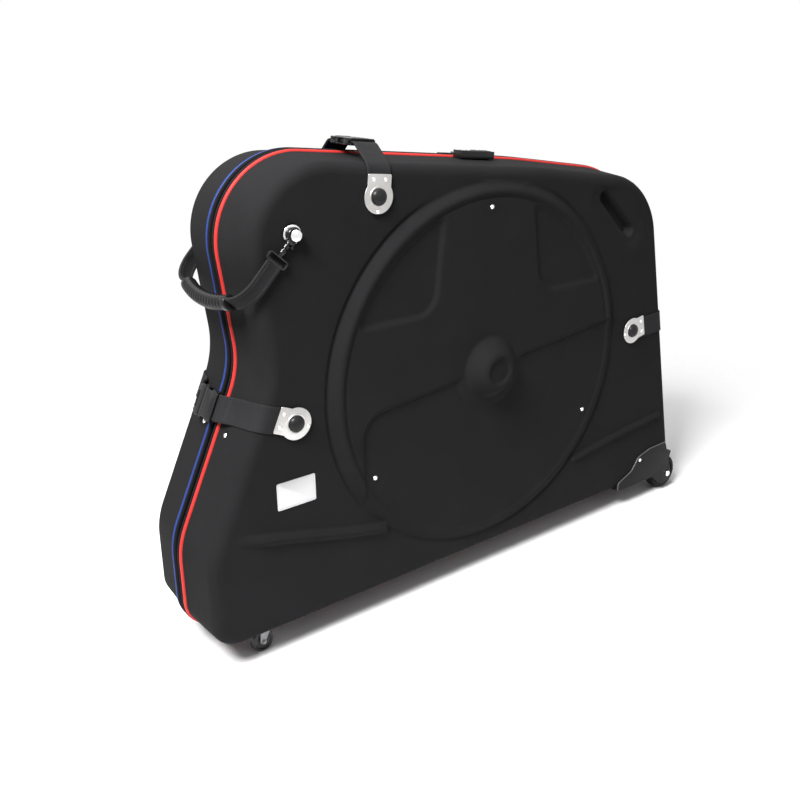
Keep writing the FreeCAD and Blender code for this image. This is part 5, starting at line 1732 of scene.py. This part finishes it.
@dataclass
class Trim:
    """The plain plate on the near face, and the elastic straps inside each half."""

    plate: Point = (73.0, 49.0)
    plate_at: Corner = (-427.0, 115.0, 301.0)
    plate_margin: float = 2.2
    strap_x: Point = (-210.0, 190.0)
    strap_low: float = 112.0
    strap_high: float = 745.0
    strap_width: float = 40.0
    strap_rows: int = 60
    patch: Point = (19.0, 11.0)
    patch_inset: float = 14.0
    floor: float = 109.0

    def build(self) -> None:
        """Make the plate and the straps."""
        self._plate()
        for half in Half:
            self._straps(half)

    def _plate(self) -> None:
        """The bare plate, with a fine raised line inside its edge."""
        place = on_face(*self.plate_at)
        w, h = self.plate[0] / 2, self.plate[1] / 2
        stock = Stock().plate(oblong((-w, -h), (w, h), 3), 1.0, place, 0.35)
        w, h = w - self.plate_margin, h - self.plate_margin
        path = placed(place, [(u, v, 0.95) for u, v in bent(oblong((-w, -h), (w, h), 2), True)])
        stock.sweep(path, OUTWARDS, oval(0.9, 1.0, 6), True)
        stock.finish("bare_plate", "near_half", Finishes.BARE, ["nameplate"])

    def _straps(self, half: Half) -> None:
        """The straps inside one half, with a sewn patch at each end.

        Args:
            half: Which half.
        """
        straps, patches = Stock(), Stock()
        span = np.linspace(self.strap_low, self.strap_high, self.strap_rows)
        lift = 1.2 + 3.0 * np.sin(np.pi * np.linspace(0, 1, self.strap_rows)) ** 0.5
        w, h = self.patch
        for x in self.strap_x:
            path = np.stack([np.full(self.strap_rows, x), -self.floor + lift, span], 1)
            straps.sweep(path, ALONG, flat_section(self.strap_width, 2.0, 0.2))
            for z in (self.strap_low + self.patch_inset, self.strap_high - self.patch_inset):
                spot = seat((x, -self.floor + 2.0, z), ALONG, ACROSS)
                patches.plate(oblong((-w, -h), (w, h), 3), 1.6, spot, 0.5)
        straps.fit(half, "inner_webbing", Finishes.INNER, "wheel_straps")
        patches.fit(half, "inner_patches", Finishes.WEBBING)


@dataclass
class SoftenedNode:
    """A CAD node whose edges are rounded as moulded or stamped pieces are."""

    node: str
    finish: Finish
    rounding: float
    segments: int = 3
    merge: float = 0.01
    flat_angle: float = 1.5
    hard_angle: float = 34.0
    sharp: float = 30.0

    def build(self) -> bpy.types.Object:
        """Copy the node, merge its triangles and round its edges.

        Returns:
            The dressed copy.
        """
        source = frame["nodes"][self.node]
        shape = bmesh.new()
        shape.from_mesh(source.data)
        bmesh.ops.remove_doubles(shape, verts=shape.verts, dist=self.merge * MM)
        bmesh.ops.dissolve_limit(shape, angle_limit=math.radians(self.flat_angle), verts=shape.verts,
                                 edges=shape.edges)
        least = math.radians(self.hard_angle)
        hard = [e for e in shape.edges if len(e.link_faces) == 2 and e.calc_face_angle(0.0) > least]
        bmesh.ops.bevel(shape, geom=hard, offset=self.rounding * MM, offset_type="OFFSET",
                        segments=self.segments, profile=0.5, affect="EDGES", clamp_overlap=True, material=-1)
        return publish(self.node + "_dressed", shape, source["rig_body"], self.finish, [self.node], self.sharp)


SOFTENED = {
    "anchor_plates": (Finishes.PLATE, 0.7), "wheel_housing": (Finishes.HOUSING, 1.6),
    "wheel_axle": (Finishes.BRIGHT, 0.8), "caster_plate": (Finishes.BRIGHT, 0.8),
    "caster_fork": (Finishes.FORK, 0.7), "lock_body": (Finishes.LOCK, 1.6),
    "left_slider": (Finishes.ZIP, 0.9), "right_slider": (Finishes.ZIP, 0.9),
    "left_pull": (Finishes.ZIP, 0.7), "right_pull": (Finishes.ZIP, 0.7),
}


@dataclass(frozen=True)
class Lamp:
    """A square area lamp, in metres and watts."""

    name: str
    place: Corner
    target: Corner
    size: float
    power: float

    def build(self) -> None:
        """Hang the lamp and point it at its target."""
        data = bpy.data.lights.new(self.name, "AREA")
        data.size, data.energy = self.size, self.power
        lamp = bpy.data.objects.new(self.name, data)
        bpy.context.scene.collection.objects.link(lamp)
        facing = (Vector(self.target) - Vector(self.place)).to_track_quat("-Z", "Y")
        lamp.matrix_world = Matrix.Translation(self.place) @ facing.to_matrix().to_4x4()


@dataclass
class Studio:
    """Floor, light and the camera at the photograph's viewing angle."""

    eye: Corner = (-1.101, -1.371, 1.009)
    ahead: Corner = (0.5948, 0.7406, -0.3128)
    lens: float = 41.85
    shift: Point = (-0.066, -0.0604)
    floor: Point = (0.75, 1.7)
    floor_grey: float = 0.93
    glow: float = 0.2
    lamps: Tuple[Lamp, ...] = (
        Lamp("left_window", (-1.9, -0.85, 2.7), (-0.2, 0.0, 0.5), 1.0, 190.0),
        Lamp("front_window", (0.4, -3.0, 2.4), (0.1, 0.0, 0.4), 2.2, 12.0),
        Lamp("top_window", (-0.3, 0.5, 3.0), (0.0, 0.0, 0.4), 2.4, 50.0))

    def build(self) -> None:
        """Put up the floor, the lamps, the world and the camera."""
        bpy.context.scene.view_settings.view_transform = "Standard"
        self._camera()
        self._world()
        self._floor()
        for lamp in self.lamps:
            lamp.build()

    def _camera(self) -> None:
        """Place the camera."""
        data = bpy.data.cameras.new("photo_view")
        data.lens, data.sensor_width = self.lens, 36.0
        data.shift_x, data.shift_y = self.shift
        camera = bpy.data.objects.new("photo_view", data)
        bpy.context.scene.collection.objects.link(camera)
        ahead = Vector(self.ahead).normalized()
        right = ahead.cross(Vector((0, 0, 1))).normalized()
        turn = Matrix((right, right.cross(ahead), -ahead)).transposed().to_4x4()
        camera.matrix_world = Matrix.Translation(self.eye) @ turn
        bpy.context.scene.camera = camera

    def _world(self) -> None:
        """Soft grey light all round, seen as white."""
        world = bpy.data.worlds.new("studio")
        bpy.context.scene.world = world
        world.use_nodes = True
        wiring = Wiring(world.node_tree)
        rays = wiring.node("ShaderNodeLightPath").outputs
        seen = wiring.maths("MAXIMUM", rays["Is Camera Ray"], rays["Is Transmission Ray"])
        seen = wiring.maths("MAXIMUM", seen, rays["Is Glossy Ray"])
        strength = wiring.node("ShaderNodeMapRange", {"Value": seen, "To Min": self.glow, "To Max": 1.0})
        wiring.feed(world.node_tree.nodes["Background"], {
            "Color": (1.0, 1.0, 1.0, 1.0), "Strength": strength.outputs[0]})

    def _floor(self) -> None:
        """A pale floor that keeps the case's shadow and fades out round it."""
        shape = bmesh.new()
        bmesh.ops.create_circle(shape, cap_ends=True, segments=96, radius=self.floor[1])
        floor = stand("floor", shape)
        material = bpy.data.materials.new("pale_floor")
        material.use_nodes = True
        wiring = Wiring(material.node_tree)
        nodes = material.node_tree.nodes
        wiring.feed(nodes["Principled BSDF"], {
            "Base Color": (self.floor_grey,) * 3 + (1.0,), "Roughness": 0.9, "Specular IOR Level": 0.1})
        reach = wiring.node("ShaderNodeVectorMath", operation="LENGTH")
        wiring.feed(reach, {0: wiring.node("ShaderNodeTexCoord").outputs["Object"]})
        near, far = self.floor
        fade = wiring.node("ShaderNodeMapRange", {
            "Value": reach.outputs["Value"], "From Min": near, "From Max": far}, interpolation_type="SMOOTHSTEP")
        mix = wiring.node("ShaderNodeMixShader", {
            "Fac": fade.outputs["Result"], 1: nodes["Principled BSDF"].outputs["BSDF"],
            2: wiring.node("ShaderNodeBsdfTransparent").outputs["BSDF"]})
        wiring.feed(nodes["Material Output"], {"Surface": mix.outputs["Shader"]})
        floor.data.materials.append(material)


def main() -> None:
    """Build every piece of the case and the studio round it."""
    logging.basicConfig(level=logging.INFO, format="%(name)s: %(message)s")
    for half in Half:
        MouldedShell(half).build()
    Seam().build()
    for strap in STRAP_SETS:
        strap.build()
    for assembly in (Fasteners(), Handle(), RunningGear(), Lock(), Trim()):
        assembly.build()
    for node in frame["nodes"]:
        key = node if node in SOFTENED else node.partition("_")[2]
        if key in SOFTENED:
            SoftenedNode(node, *SOFTENED[key]).build()
    Studio().build()


if __name__ == "__main__":
    main()
